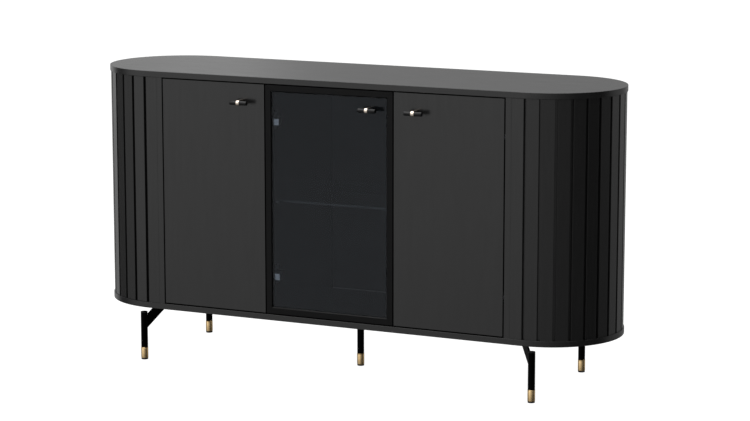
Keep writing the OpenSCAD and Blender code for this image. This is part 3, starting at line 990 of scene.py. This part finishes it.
class RingRepeater(Repeater):
    """Repeats a mesh at equal angles round an upright axis."""

    def __init__(self) -> None:
        """Build the group."""
        super().__init__("ring_of_pieces", [
            ("Piece", "NodeSocketObject"), ("Finish", "NodeSocketMaterial"), ("Count", "NodeSocketInt"),
            ("Centre", "NodeSocketVector"), ("First", "NodeSocketFloat"), ("Step", "NodeSocketFloat"),
        ])
        line = self.node("GeometryNodeMeshLine")
        self.link(self.source.outputs["Count"], line.inputs["Count"])
        self.link(self.source.outputs["Centre"], line.inputs["Start Location"])
        line.inputs["Offset"].default_value = (0.0, 0.0, 0.0)
        index = self.node("GeometryNodeInputIndex")
        turn = self.node("ShaderNodeMath", operation="MULTIPLY_ADD")
        self.link(index.outputs[0], turn.inputs[0])
        self.link(self.source.outputs["Step"], turn.inputs[1])
        self.link(self.source.outputs["First"], turn.inputs[2])
        axis = self.node("ShaderNodeCombineXYZ")
        self.link(turn.outputs[0], axis.inputs["Z"])
        rotation = self.node("FunctionNodeEulerToRotation")
        self.link(axis.outputs[0], rotation.inputs[0])
        self.close(line.outputs["Mesh"], rotation.outputs[0])


class PointRepeater(Repeater):
    """Repeats a mesh on given points, turned to aim and spun by a fixed seed."""

    def __init__(self) -> None:
        """Build the group."""
        super().__init__("pieces_on_points", [
            ("Piece", "NodeSocketObject"), ("Finish", "NodeSocketMaterial"),
            ("Spin", "NodeSocketFloat"), ("Seed", "NodeSocketInt"),
        ])
        aim = self.node("GeometryNodeInputNamedAttribute", data_type="FLOAT_VECTOR")
        aim.inputs["Name"].default_value = "aim"
        chance = self.node("FunctionNodeRandomValue", data_type="FLOAT")
        floats = [s for s in chance.inputs if s.type == "VALUE"]
        floats[0].default_value = 0.0
        self.link(self.source.outputs["Spin"], floats[1])
        self.link(self.source.outputs["Seed"], chance.inputs["Seed"])
        axis = self.node("ShaderNodeCombineXYZ")
        value = next(s for s in chance.outputs if s.type == "VALUE" and s.enabled)
        self.link(value, axis.inputs["Z"])
        spin = self.node("FunctionNodeEulerToRotation")
        self.link(axis.outputs[0], spin.inputs[0])
        turned = self.node("FunctionNodeEulerToRotation")
        self.link(aim.outputs["Attribute"], turned.inputs[0])
        both = self.node("FunctionNodeRotateRotation", rotation_space="LOCAL")
        self.link(turned.outputs[0], both.inputs[0])
        self.link(spin.outputs[0], both.inputs[1])
        self.close(self.source.outputs["Geometry"], both.outputs[0])


class Stock:
    """Makes pieces that repeat, with the two Geometry Nodes groups."""

    SEED = 11

    def __init__(self, shop: Workshop) -> None:
        """Build the groups.

        Args:
            shop: workshop that dresses the results.
        """
        self.shop = shop
        self.ring = RingRepeater()
        self.points = PointRepeater()

    def round_axis(self, name: str, sample: bpy.types.Object, look: str, count: int,
                   centre: Vector, first: float, step: float) -> bpy.types.Object:
        """Copies at equal angles round an upright axis.

        Args:
            name: name of the result.
            sample: what repeats, in the axis's own frame. It is removed.
            look: short name of its finish.
            count: number of copies.
            centre: foot of the axis.
            first: angle of the first copy, in radians.
            step: angle from copy to copy, in radians.

        Returns:
            All copies as one plain object.
        """
        bare = bpy.data.meshes.new(name + "_carrier")
        made = self.ring.run(name, bare, {
            "Piece": sample, "Finish": self.shop.finishes.materials[look], "Count": count,
            "Centre": centre, "First": first, "Step": step,
        })
        bpy.data.objects.remove(sample)
        return made

    def set_out(self, node: str, bm: bmesh.types.BMesh, look: str,
                spots: Sequence[tuple[Vector, Euler]]) -> None:
        """Make a piece of copies on given points, each spun at random about its own axis.

        Args:
            node: CAD node that the copies stand for.
            bm: what repeats, with its axis along Z. It is freed.
            look: short name of its finish.
            spots: place and turn of each copy.
        """
        sample = Workshop.shaped(node + "_sample", bm, 0.0)
        name = node + "_piece"
        cloud = bpy.data.meshes.new(name + "_carrier")
        cloud.from_pydata([tuple(p) for p, _ in spots], [], [])
        aims = cloud.attributes.new("aim", "FLOAT_VECTOR", "POINT")
        for item, (_, aim) in zip(aims.data, spots):
            item.vector = tuple(aim)
        made = self.points.run(name, cloud, {
            "Piece": sample, "Finish": self.shop.finishes.materials[look],
            "Spin": FULL_TURN, "Seed": self.SEED,
        })
        bpy.data.objects.remove(sample)
        self.shop.dress(made, Body.CABINET, look, [node])


# ---------------------------------------------------------------------- studio


@dataclass(frozen=True)
class CameraSetup:
    """Where the camera stands and how long its lens is."""

    place: tuple[float, float, float] = (2.8588, -6.0125, 1.5987)
    tilt_deg: float = 80.060
    turn_deg: float = 25.092
    lens_mm: float = 119.22
    sensor_mm: float = 36.0
    reach: Point = (0.5, 80.0)

    def build(self) -> None:
        """Make it the scene's camera."""
        data = bpy.data.cameras.new("studio_camera")
        data.lens = self.lens_mm
        data.sensor_width = self.sensor_mm
        data.clip_start, data.clip_end = self.reach
        camera = bpy.data.objects.new("studio_camera", data)
        camera.location = self.place
        camera.rotation_euler = (math.radians(self.tilt_deg), 0.0, math.radians(self.turn_deg))
        bpy.context.scene.collection.objects.link(camera)
        bpy.context.scene.camera = camera


@dataclass(frozen=True)
class Studio:
    """Pale floor, overhead softbox, key light, and a sky of soft panels round the cabinet."""

    floor_half: float = 40.0
    box_size: Point = (5.0, 4.0)
    box_height: float = 4.0
    box_power: float = 150.0
    key_place: tuple[float, float, float] = (-1.39, -2.73, 3.07)
    key_target: tuple[float, float, float] = (0.0, 0.0, 0.5)
    key_size: float = 1.6
    key_power: float = 9.5
    # Heading of each panel in degrees from the front, to the right, and its brightness.
    panels: tuple[Point, ...] = (
        (-180, 0.33), (-165, 0.29), (-158, 0.30), (-152.2, 0.32), (-151.5, 0.66), (-150.5, 0.46),
        (-149, 0.42), (-146, 0.38), (-140, 0.35), (-126, 0.62), (-110, 0.62), (-98, 0.10),
        (-80, 0.14), (-64, 0.60), (-43, 0.86), (-25, 0.84), (-11, 0.66), (12, 0.45), (35, 0.23),
        (59, 0.06), (81, 0.05), (100, 0.0), (115, 0.14), (129, 0.36), (153, 0.28), (180, 0.33),
    )
    # Brightness of the panels by the sine of the height angle.
    fall: tuple[Point, Point] = ((-0.34, 0.36), (-0.087, 1.28))

    def build(self) -> None:
        """Make the floor, the lamps and the sky."""
        scene = bpy.context.scene
        scene.view_settings.view_transform = "Standard"
        scene.view_settings.look = "None"
        self.build_floor()
        self.build_softbox()
        self.build_key()
        self.build_sky()

    def build_floor(self) -> None:
        """Make the floor, which mirrors nothing into the cabinet."""
        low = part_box("leg_glides")[0].z
        half = self.floor_half
        mesh = bpy.data.meshes.new("studio_floor")
        mesh.from_pydata([(-half, -half, low), (half, -half, low), (half, half, low), (-half, half, low)],
                         [], [(0, 1, 2, 3)])
        floor = bpy.data.objects.new("studio_floor", mesh)
        bpy.context.scene.collection.objects.link(floor)
        floor.data.materials.append(StudioFloor().build())
        floor.visible_glossy = False
        floor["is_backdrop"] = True

    def build_softbox(self) -> None:
        """Make the overhead softbox."""
        data = bpy.data.lights.new("softbox", "AREA")
        data.shape = "RECTANGLE"
        data.size, data.size_y = self.box_size
        data.energy = self.box_power
        lamp = bpy.data.objects.new("softbox", data)
        lamp.location = (0.0, 0.0, self.box_height)
        bpy.context.scene.collection.objects.link(lamp)

    def build_key(self) -> None:
        """Make the key light, high up in front of the cabinet's left half."""
        data = bpy.data.lights.new("key", "AREA")
        data.size = self.key_size
        data.energy = self.key_power
        lamp = bpy.data.objects.new("key", data)
        lamp.location = self.key_place
        aim = Vector(self.key_target) - Vector(self.key_place)
        lamp.rotation_euler = aim.to_track_quat("-Z", "Y").to_euler()
        bpy.context.scene.collection.objects.link(lamp)

    def build_sky(self) -> None:
        """Make the sky, whose brightness follows the heading and the height angle."""
        world = bpy.data.worlds.new("panels")
        bpy.context.scene.world = world
        tree = Tree(world)
        coords = tree.add("ShaderNodeTexCoord")
        split = tree.add("ShaderNodeSeparateXYZ", {"Vector": coords.outputs["Generated"]})
        front = tree.product(split.outputs["Y"], -1.0)
        heading = tree.add("ShaderNodeMath", {0: split.outputs["X"], 1: front}, operation="ARCTAN2")
        share = tree.remap(heading.outputs[0], 0.0, 1.0, -math.pi, math.pi)
        ramp = tree.add("ShaderNodeValToRGB", {"Fac": share})
        self.fill_ramp(ramp.color_ramp)
        (low, dim), (high, bright) = self.fall
        height = tree.remap(split.outputs["Z"], dim, bright, low, high)
        back = tree.add("ShaderNodeBackground", {
            "Color": ramp.outputs["Color"], "Strength": tree.product(height, self.ramp_top()),
        })
        tree.close(back, "ShaderNodeOutputWorld")

    def ramp_top(self) -> float:
        """Brightness of the brightest panel."""
        return max(value for _, value in self.panels)

    def fill_ramp(self, ramp: bpy.types.ColorRamp) -> None:
        """Set a colour ramp to the panels' brightness.

        Args:
            ramp: ramp over the headings from -180 to 180 degrees.
        """
        top = self.ramp_top()
        first, last = self.panels[0][0], self.panels[-1][0]
        while len(ramp.elements) > 1:
            ramp.elements.remove(ramp.elements[-1])
        for index, (heading, value) in enumerate(self.panels):
            spot = (heading - first) / (last - first)
            element = ramp.elements[0] if index == 0 else ramp.elements.new(spot)
            element.position = spot
            element.color = (value / top, value / top, value / top, 1.0)


# ---------------------------------------------------------------- the cabinet


@dataclass
class Carcass:
    """Top and bottom boards, uprights, partitions, shelves and backs."""

    shop: Workshop
    board_edge_mm: float = 0.9
    inner_edge_mm: float = 0.4
    back_edge_mm: float = 0.2
    glass_edge_mm: float = 0.7
    arc_steps: int = 96

    def build(self) -> None:
        """Build every board."""
        self.outer_board("top_panel")
        self.outer_board("bottom_panel")
        for node in ("left_upright", "right_upright", "left_partition", "right_partition"):
            self.shop.softened(node, Body.CABINET, "board_z", self.inner_edge_mm)
        for node in ("left_shelf", "right_shelf"):
            self.shop.softened(node, Body.CABINET, "board_x", self.inner_edge_mm)
        for node in ("left_back_panel", "middle_back_panel", "right_back_panel"):
            self.shop.softened(node, Body.CABINET, "back", self.back_edge_mm)
        self.shop.softened("glass_shelf", Body.CABINET, "clear", self.glass_edge_mm)

    def outline(self, low: Vector, high: Vector) -> list[Point]:
        """Outline of a board with half-round ends.

        Args:
            low: lowest corner of its box.
            high: highest corner of its box.

        Returns:
            The corners, anticlockwise from above.
        """
        radius = (high.y - low.y) / 2
        middle = (low.y + high.y) / 2
        points = []
        for centre, start in ((high.x - radius, -90.0), (low.x + radius, 90.0)):
            for k in range(self.arc_steps + 1):
                turn = math.radians(start + 180.0 * k / self.arc_steps)
                points.append((centre + radius * math.cos(turn), middle + radius * math.sin(turn)))
        return points

    def outer_board(self, node: str) -> None:
        """Build the top or the bottom board.

        Args:
            node: CAD node of the board.
        """
        low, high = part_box(node)
        bm = Shapes.slab(self.outline(low, high), low.z, high.z)
        self.shop.piece(node + "_piece", bm, Body.CABINET, "board_x", [node], self.board_edge_mm)


@dataclass
class SlattedEnd:
    """One half-round end: core, ribs and slats."""

    shop: Workshop
    stock: Stock
    side: Side
    slat_edge_mm: float = 0.6
    half_groove_mm: float = 4.0
    rib_edge_mm: float = 0.3

    def build(self) -> None:
        """Build the end's pieces."""
        word = self.side.name.lower()
        self.shop.softened(word + "_end_core", Body.CABINET, "slat", 0.0)
        self.shop.softened(word + "_end_ribs", Body.CABINET, "raw", self.rib_edge_mm)
        self.slats(word + "_slats")

    def slats(self, node: str) -> None:
        """Build all slats of the end: those round the end and the two straight ones.

        Args:
            node: CAD node of the slats.
        """
        boxes = Shapes.islands(node)
        straight = [b for b in boxes if abs(b[0].y + b[1].y) > self.deepest(boxes) - MM]
        curved = [b for b in boxes if b not in straight]
        count = len(curved)
        radius, thickness, width, centre, step = self.measure(node, straight, curved)
        block = Shapes.block((-width / 2, -radius, straight[0][0].z),
                             (width / 2, thickness - radius, straight[0][1].z))
        sample = Workshop.shaped("slat_sample", block, self.slat_edge_mm)
        first = math.pi / 2 - step * (count - 1) / 2
        sign = self.side.value
        ring = self.stock.round_axis(node + "_ring", sample, "slat", count, centre, sign * first, sign * step)
        flats = Shapes.merge(Shapes.block(low, high) for low, high in straight)
        rest = Workshop.shaped(node + "_flats", flats, self.slat_edge_mm)
        bm = bmesh.new()
        bm.from_mesh(ring.data)
        bm.from_mesh(rest.data)
        mesh = bpy.data.meshes.new(node)
        bm.to_mesh(mesh)
        bm.free()
        bpy.data.objects.remove(rest)
        bpy.data.objects.remove(ring)
        done = bpy.data.objects.new(node + "_piece", mesh)
        bpy.context.scene.collection.objects.link(done)
        self.shop.dress(done, Body.CABINET, "slat", [node])

    @staticmethod
    def deepest(boxes: Sequence[Box]) -> float:
        """Largest distance of a solid's middle from the centre line, doubled."""
        return max(abs(low.y + high.y) for low, high in boxes)

    def measure(self, node: str, straight: Sequence[Box],
                curved: Sequence[Box]) -> tuple[float, float, float, Vector, float]:
        """Sizes of the slats, read from the CAD solids.

        Args:
            node: CAD node of the slats.
            straight: boxes of the two straight slats.
            curved: boxes of the slats round the end.

        Returns:
            Radius of the slat faces, slat thickness, slat width, foot of the
            axis, and the angle from slat to slat.
        """
        low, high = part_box(node)
        thickness = straight[0][1].y - straight[0][0].y
        tip = high.x if self.side is Side.RIGHT else -low.x
        board_low, board_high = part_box("top_panel")
        end_x = board_high.x - (board_high.y - board_low.y) / 2
        radius = tip - end_x
        middle = next(b for b in curved if abs(b[0].y + b[1].y) < MM)
        width = middle[1].y - middle[0].y
        groove = self.groove(straight, end_x, high.y)
        step = (math.pi - 2 * groove) / len(curved)
        return radius, thickness, width, Vector((self.side.value * end_x, 0.0, 0.0)), step

    def groove(self, straight: Sequence[Box], end_x: float, face: float) -> float:
        """Angle at which the first groove's middle lies.

        Args:
            straight: boxes of the two straight slats.
            end_x: distance of the end's axis from the middle.
            face: distance of the front plane from the middle.

        Returns:
            The angle in radians.
        """
        outer = max(max(abs(low.x), abs(high.x)) for low, high in straight)
        return math.asin((outer + self.half_groove_mm * MM - end_x) / face)


@dataclass
class Handle:
    """A black cross bar through a flat brass stem, with its screw."""

    shop: Workshop
    word: str
    body: Body
    end_round_mm: float = 0.8
    post_edge_mm: float = 0.35
    screw_edge_mm: float = 0.3

    def build(self) -> None:
        """Build bar, post and screw."""
        self.bar()
        self.shop.softened(self.word + "_handle_post", self.body, "brass_y", self.post_edge_mm)
        self.shop.softened(self.word + "_handle_screw", self.body, "zinc", self.screw_edge_mm)

    def bar(self) -> None:
        """Build the cross bar."""
        node = self.word + "_handle_bar"
        low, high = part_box(node)
        radius = (high.z - low.z) / 2
        half = (high.x - low.x) / 2
        profile = Shapes.rounded([(0.0, -half), (radius, -half), (radius, half), (0.0, half)],
                                 self.end_round_mm * MM)
        turn = Matrix.Translation((low + high) / 2) @ Matrix.Rotation(math.pi / 2, 4, "Y")
        bm = Shapes.moved(Shapes.lathe(profile), turn)
        self.shop.piece(node + "_piece", bm, self.body, "bar_metal", [node])


@dataclass
class BoardDoor:
    """A laminate door with its handle and hinge cups."""

    shop: Workshop
    word: str
    body: Body
    edge_mm: float = 0.6
    cup_edge_mm: float = 0.25
    pin_edge_mm: float = 0.2

    def build(self) -> None:
        """Build the door's pieces."""
        self.shop.softened(self.word + "_door_panel", self.body, "board_z", self.edge_mm)
        self.shop.softened(self.word + "_hinge_cups", self.body, "nickel", self.cup_edge_mm)
        self.shop.softened(self.word + "_hinge_pins", self.body, "zinc", self.pin_edge_mm)
        Handle(self.shop, self.word, self.body).build()


@dataclass
class GlassDoor:
    """A narrow black frame round smoked glass."""

    shop: Workshop
    body: Body = Body.GLASS_DOOR
    edge_mm: float = 0.4
    pane_edge_mm: float = 0.2
    gasket_edge_mm: float = 0.1
    leaf_edge_mm: float = 0.3
    pin_edge_mm: float = 0.2

    def build(self) -> None:
        """Build the door's pieces."""
        self.shop.softened("glass_frame_stiles", self.body, "black_metal", self.edge_mm)
        self.shop.softened("glass_frame_rails", self.body, "black_metal", self.edge_mm)
        self.shop.softened("glass_pane", self.body, "smoked", self.pane_edge_mm)
        self.shop.softened("glass_gasket", self.body, "rubber", self.gasket_edge_mm)
        self.shop.softened("glass_hinge_leaves", self.body, "nickel", self.leaf_edge_mm)
        self.shop.softened("glass_hinge_pins", self.body, "zinc", self.pin_edge_mm)
        Handle(self.shop, "glass", self.body).build()


@dataclass
class LegFrame:
    """Corner legs with braces, the middle leg, caps, ferrules and glides."""

    shop: Workshop
    stock: Stock
    edge_mm: float = 0.5
    cap_mm: float = 2.0
    cap_rim_mm: float = 0.35
    cap_plug_share: float = 0.8
    stud_mm: float = 3.0
    glide_rim_mm: float = 0.6
    ferrule_dent_mm: float = 0.35
    ferrule_foot_mm: float = 0.6
    ferrule_round_mm: float = 0.15
    ferrule_round_steps: int = 2
    ferrule_plug_share: float = 0.78
    ring_mm: float = 0.9
    # Where the ferrule's groove starts, reaches its floor, leaves it and ends, in rings below the rim.
    groove_rings: tuple[float, float, float, float] = (3.0, 2.6, 2.2, 1.8)

    def build(self) -> None:
        """Build every leg."""
        legs = [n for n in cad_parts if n.endswith("_leg")]
        for node in sorted(legs):
            self.shop.softened(node, Body.CABINET, "leg_metal", self.edge_mm)
        self.caps()
        self.ferrules()
        self.glides()

    @staticmethod
    def feet(boxes: Sequence[Box]) -> list[tuple[Vector, Euler]]:
        """Middle of the underside of each box, without a turn."""
        return [(Vector(((a.x + b.x) / 2, (a.y + b.y) / 2, a.z)), Euler((0, 0, 0))) for a, b in boxes]

    @staticmethod
    def stepped(radius: float, disc: float, stem: float, tall: float, round_mm: float) -> bmesh.types.BMesh:
        """A turned disc with a stem on it.

        Args:
            radius: radius of the disc.
            disc: thickness of the disc.
            stem: radius of the stem.
            tall: height of both together.
            round_mm: rounding of the rims.

        Returns:
            The closed solid, standing on its disc.
        """
        profile = [(0.0, 0.0), (radius, 0.0), (radius, disc), (stem, disc), (stem, tall), (0.0, tall)]
        return Shapes.lathe(Shapes.rounded(profile, round_mm * MM))

    def caps(self) -> None:
        """Build the caps, each a disc with its plug below it."""
        boxes = Shapes.islands("leg_caps")
        low, high = boxes[0]
        radius, tall = (high.x - low.x) / 2, high.z - low.z
        bm = self.stepped(radius, self.cap_mm * MM, radius * self.cap_plug_share, tall, self.cap_rim_mm)
        bm = Shapes.moved(bm, Matrix.Scale(-1.0, 4, (0, 0, 1)))
        bm = Shapes.moved(bm, Matrix.Translation((0.0, 0.0, tall)))
        self.stock.set_out("leg_caps", bm, "black_plastic", self.feet(boxes))

    def glides(self) -> None:
        """Build the glides, each a disc with its stud above it."""
        boxes = Shapes.islands("leg_glides")
        low, high = boxes[0]
        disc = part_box("leg_ferrules")[0].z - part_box("leg_glides")[0].z
        bm = self.stepped((high.x - low.x) / 2, disc, self.stud_mm * MM, high.z - low.z, self.glide_rim_mm)
        self.stock.set_out("leg_glides", bm, "black_plastic", self.feet(boxes))

    def ferrules(self) -> None:
        """Build the brass ferrules, each with a fine groove under its upper rim."""
        node = "leg_ferrules"
        boxes = Shapes.islands(node)
        low, high = boxes[0]
        radius, tall = (high.x - low.x) / 2, high.z - low.z
        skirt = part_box("front_left_leg")[0].z - low.z
        inner = radius - self.ferrule_dent_mm * MM
        plug = radius * self.ferrule_plug_share
        start, floor, leave, end = (skirt - rings * self.ring_mm * MM for rings in self.groove_rings)
        profile = [(0.0, 0.0), (inner, 0.0), (radius, self.ferrule_foot_mm * MM), (radius, start),
                   (inner, floor), (inner, leave), (radius, end),
                   (radius, skirt - self.ferrule_dent_mm * MM), (inner, skirt),
                   (plug, skirt), (plug, tall), (0.0, tall)]
        rounded = Shapes.rounded(profile, self.ferrule_round_mm * MM, self.ferrule_round_steps)
        self.stock.set_out(node, Shapes.lathe(rounded), "brass_z", self.feet(boxes))


@dataclass
class Screws:
    """A group of flat-headed screws with cross recesses and threaded shanks."""

    stock: Stock
    node: str
    # Radius and height of the heads.
    head_mm: float
    tall_mm: float
    along: Grain
    # Radii of the thread, its pitch, and the radius and height of the tip.
    core_mm: float = 1.45
    crest_mm: float = 1.95
    pitch_mm: float = 1.3
    tip_mm: Point = (0.5, 0.3)
    thread_start_mm: float = 2.0
    shank_steps: int = 24
    head_steps: int = 32
    # Shares of the head's radius: flat top, reach and half width of the recess's arms.
    flat_share: float = 0.9
    arm_share: float = 0.55
    arm_half_share: float = 0.13
    # Shares of the head's height: its rounded-off edge and the recess's depth.
    edge_share: float = 0.35
    deep_share: float = 0.6
    # Size of the recess's floor against its mouth.
    floor_share: float = 0.8

    def build(self) -> None:
        """Build all screws of the group."""
        boxes = Shapes.islands(self.node)
        axis = self.along.value
        length = boxes[0][1][axis] - boxes[0][0][axis]
        bm = Shapes.merge([self.head(), Shapes.lathe(self.shank(length), self.shank_steps)])
        self.stock.set_out(self.node, bm, "zinc", [self.spot(low, high) for low, high in boxes])

    def shank(self, length: float) -> list[Point]:
        """Turned profile of the threaded shank.

        Args:
            length: length of the whole screw.

        Returns:
            Radius and height of each point, with the head's top at height 0.
        """
        core, crest, pitch = self.core_mm * MM, self.crest_mm * MM, self.pitch_mm * MM
        head = -self.tall_mm * MM
        made = [(0.0, -length), (self.tip_mm[0] * MM, -length + self.tip_mm[1] * MM)]
        height = -length + self.thread_start_mm * MM
        while height < head - pitch:
            made.extend([(core, height), (crest, height + pitch / 2)])
            height += pitch
        return made + [(core, head), (0.0, head)]

    def recess(self) -> list[Point]:
        """Outline of the cross recess, with three corners for each of its arms.

        Returns:
            The corners, anticlockwise from above.
        """
        arm, half = self.head_mm * MM * self.arm_share, self.head_mm * MM * self.arm_half_share
        quarter = [(arm, -half), (arm, half), (half, half)]
        plus = []
        for _ in range(4):
            plus.extend(quarter)
            quarter = [(-y, x) for x, y in quarter]
        return plus

    def head(self) -> bmesh.types.BMesh:
        """The flat round head with its recess.

        Returns:
            The head without its shank, its top at height 0.
        """
        bm = bmesh.new()
        radius, tall, steps = self.head_mm * MM, self.tall_mm * MM, self.head_steps
        upper = Shapes.ring(bm, radius * self.flat_share, 0.0, steps)
        side = Shapes.ring(bm, radius, -tall * self.edge_share, steps)
        foot = Shapes.ring(bm, radius, -tall, steps)
        plus = self.recess()
        mouth = [bm.verts.new((x, y, 0.0)) for x, y in plus]
        low, small = -tall * self.deep_share, self.floor_share
        bed = [bm.verts.new((x * small, y * small, low)) for x, y in plus]
        for k in range(steps):
            n = (k + 1) % steps
            bm.faces.new((side[k], side[n], upper[n], upper[k]))
            bm.faces.new((foot[k], foot[n], side[n], side[k]))
        bm.faces.new(list(reversed(foot)))
        for k in range(len(plus)):
            n = (k + 1) % len(plus)
            bm.faces.new((mouth[k], mouth[n], bed[n], bed[k]))
        bm.faces.new(bed)
        loop = [e for e in bm.edges if len(e.link_faces) == 1]
        bmesh.ops.triangle_fill(bm, use_beauty=True, edges=loop)
        return bm

    def spot(self, low: Vector, high: Vector) -> tuple[Vector, Euler]:
        """Place and turn of one screw, whose head looks away from its board.

        Args:
            low: lowest corner of the screw's box.
            high: highest corner of the screw's box.

        Returns:
            Place of the head's top, and the turn from +Z.
        """
        middle = (low + high) / 2
        if self.along is Grain.Z:
            return Vector((middle.x, middle.y, low.z)), Euler((math.pi, 0.0, 0.0))
        looks_right = middle.x < 0
        place = high.x if looks_right else low.x
        turn = math.pi / 2 if looks_right else -math.pi / 2
        return Vector((place, middle.y, middle.z)), Euler((0.0, turn, 0.0))


@dataclass
class BackNails:
    """The nails of the back, with domed heads."""

    stock: Stock
    node: str = "back_nails"
    # Radius of the shank, height of the head, and length of the point.
    shank_mm: float = 0.8
    tall_mm: float = 0.8
    point_mm: float = 1.6
    steps: int = 24
    # Points of the dome, as shares of the head's radius and of its height.
    dome: tuple[Point, Point] = ((0.92, 0.45), (0.5, 0.08))

    def build(self) -> None:
        """Build all nails."""
        boxes = Shapes.islands(self.node)
        low, high = boxes[0]
        radius, length = (high.x - low.x) / 2, high.y - low.y
        shank, head = self.shank_mm * MM, self.tall_mm * MM
        profile = [(0.0, -length), (shank, self.point_mm * MM - length), (shank, -head), (radius, -head)]
        profile += [(radius * out, -head * down) for out, down in self.dome]
        bm = Shapes.lathe(profile + [(0.0, 0.0)], self.steps)
        turn = Euler((-math.pi / 2, 0, 0))
        spots = [(Vector(((a.x + b.x) / 2, b.y, (a.z + b.z) / 2)), turn) for a, b in boxes]
        self.stock.set_out(self.node, bm, "zinc", spots)


@dataclass
class ShelfPins:
    """The shelf pins, with rounded ends and a fine groove."""

    stock: Stock
    node: str = "shelf_pins"
    waist_share: float = 0.86
    # Where the groove starts, reaches its floor, leaves it and ends, from the middle.
    groove_mm: tuple[float, float, float, float] = (-0.4, 0.0, 0.7, 1.1)
    round_mm: float = 0.4
    steps: int = 32

    def build(self) -> None:
        """Build all pins."""
        boxes = Shapes.islands(self.node)
        low, high = boxes[0]
        radius, half = (high.z - low.z) / 2, (high.x - low.x) / 2
        waist = radius * self.waist_share
        start, floor, leave, end = (reach * MM for reach in self.groove_mm)
        profile = [(0.0, -half), (radius, -half), (radius, start), (waist, floor), (waist, leave),
                   (radius, end), (radius, half), (0.0, half)]
        bm = Shapes.lathe(Shapes.rounded(profile, self.round_mm * MM), self.steps)
        turn = Euler((0, math.pi / 2, 0))
        self.stock.set_out(self.node, bm, "zinc", [((a + b) / 2, turn) for a, b in boxes])


@dataclass
class Fittings:
    """Screws, nails, pins, cams, dowels, pads and the fixed hinge halves."""

    shop: Workshop
    stock: Stock
    # Node, finish and rounding in mm of the fittings that keep their CAD shape.
    kept_shapes: tuple[tuple[str, str, float], ...] = (
        ("left_hinge_arms", "nickel", 0.35), ("glass_hinge_arms", "nickel", 0.35),
        ("right_hinge_arms", "nickel", 0.35), ("hinge_plates", "zinc", 0.35),
        ("cam_locks", "cast", 0.25), ("cam_bolts", "zinc", 0.3),
        ("dowels", "beech", 0.6), ("door_bumpers", "felt", 0.3),
    )

    def build(self) -> None:
        """Build every fitting."""
        for node, look, edge_mm in self.kept_shapes:
            self.shop.softened(node, Body.CABINET, look, edge_mm)
        Screws(self.stock, "leg_screws", head_mm=4.0, tall_mm=2.2, along=Grain.Z).build()
        Screws(self.stock, "hinge_plate_screws", head_mm=3.8, tall_mm=2.0, along=Grain.X).build()
        BackNails(self.stock).build()
        ShelfPins(self.stock).build()


@dataclass
class Sideboard:
    """The whole cabinet, assembled from its sub-assemblies."""

    shop: Workshop
    stock: Stock

    def build(self) -> None:
        """Build every sub-assembly in turn."""
        steps: list[tuple[str, Callable[[], None]]] = [
            ("carcass", Carcass(self.shop).build),
            ("left end", SlattedEnd(self.shop, self.stock, Side.LEFT).build),
            ("right end", SlattedEnd(self.shop, self.stock, Side.RIGHT).build),
            ("legs", LegFrame(self.shop, self.stock).build),
            ("fittings", Fittings(self.shop, self.stock).build),
            ("left door", BoardDoor(self.shop, "left", Body.LEFT_DOOR).build),
            ("right door", BoardDoor(self.shop, "right", Body.RIGHT_DOOR).build),
            ("glass door", GlassDoor(self.shop).build),
        ]
        for name, step in steps:
            LOG.info("building the %s", name)
            step()


def corners(box: Box) -> list[list[float]]:
    """Two corners as plain lists."""
    return [[float(c) for c in corner] for corner in box]


def main() -> None:
    """Build the scene, piece by piece."""
    logging.basicConfig(level=logging.INFO, format="%(message)s")
    before = corners(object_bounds())
    CameraSetup().build()
    Studio().build()
    shop = Workshop(Finishes())
    Sideboard(shop, Stock(shop)).build()
    after = corners(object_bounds())


if __name__ == "__main__":
    main()
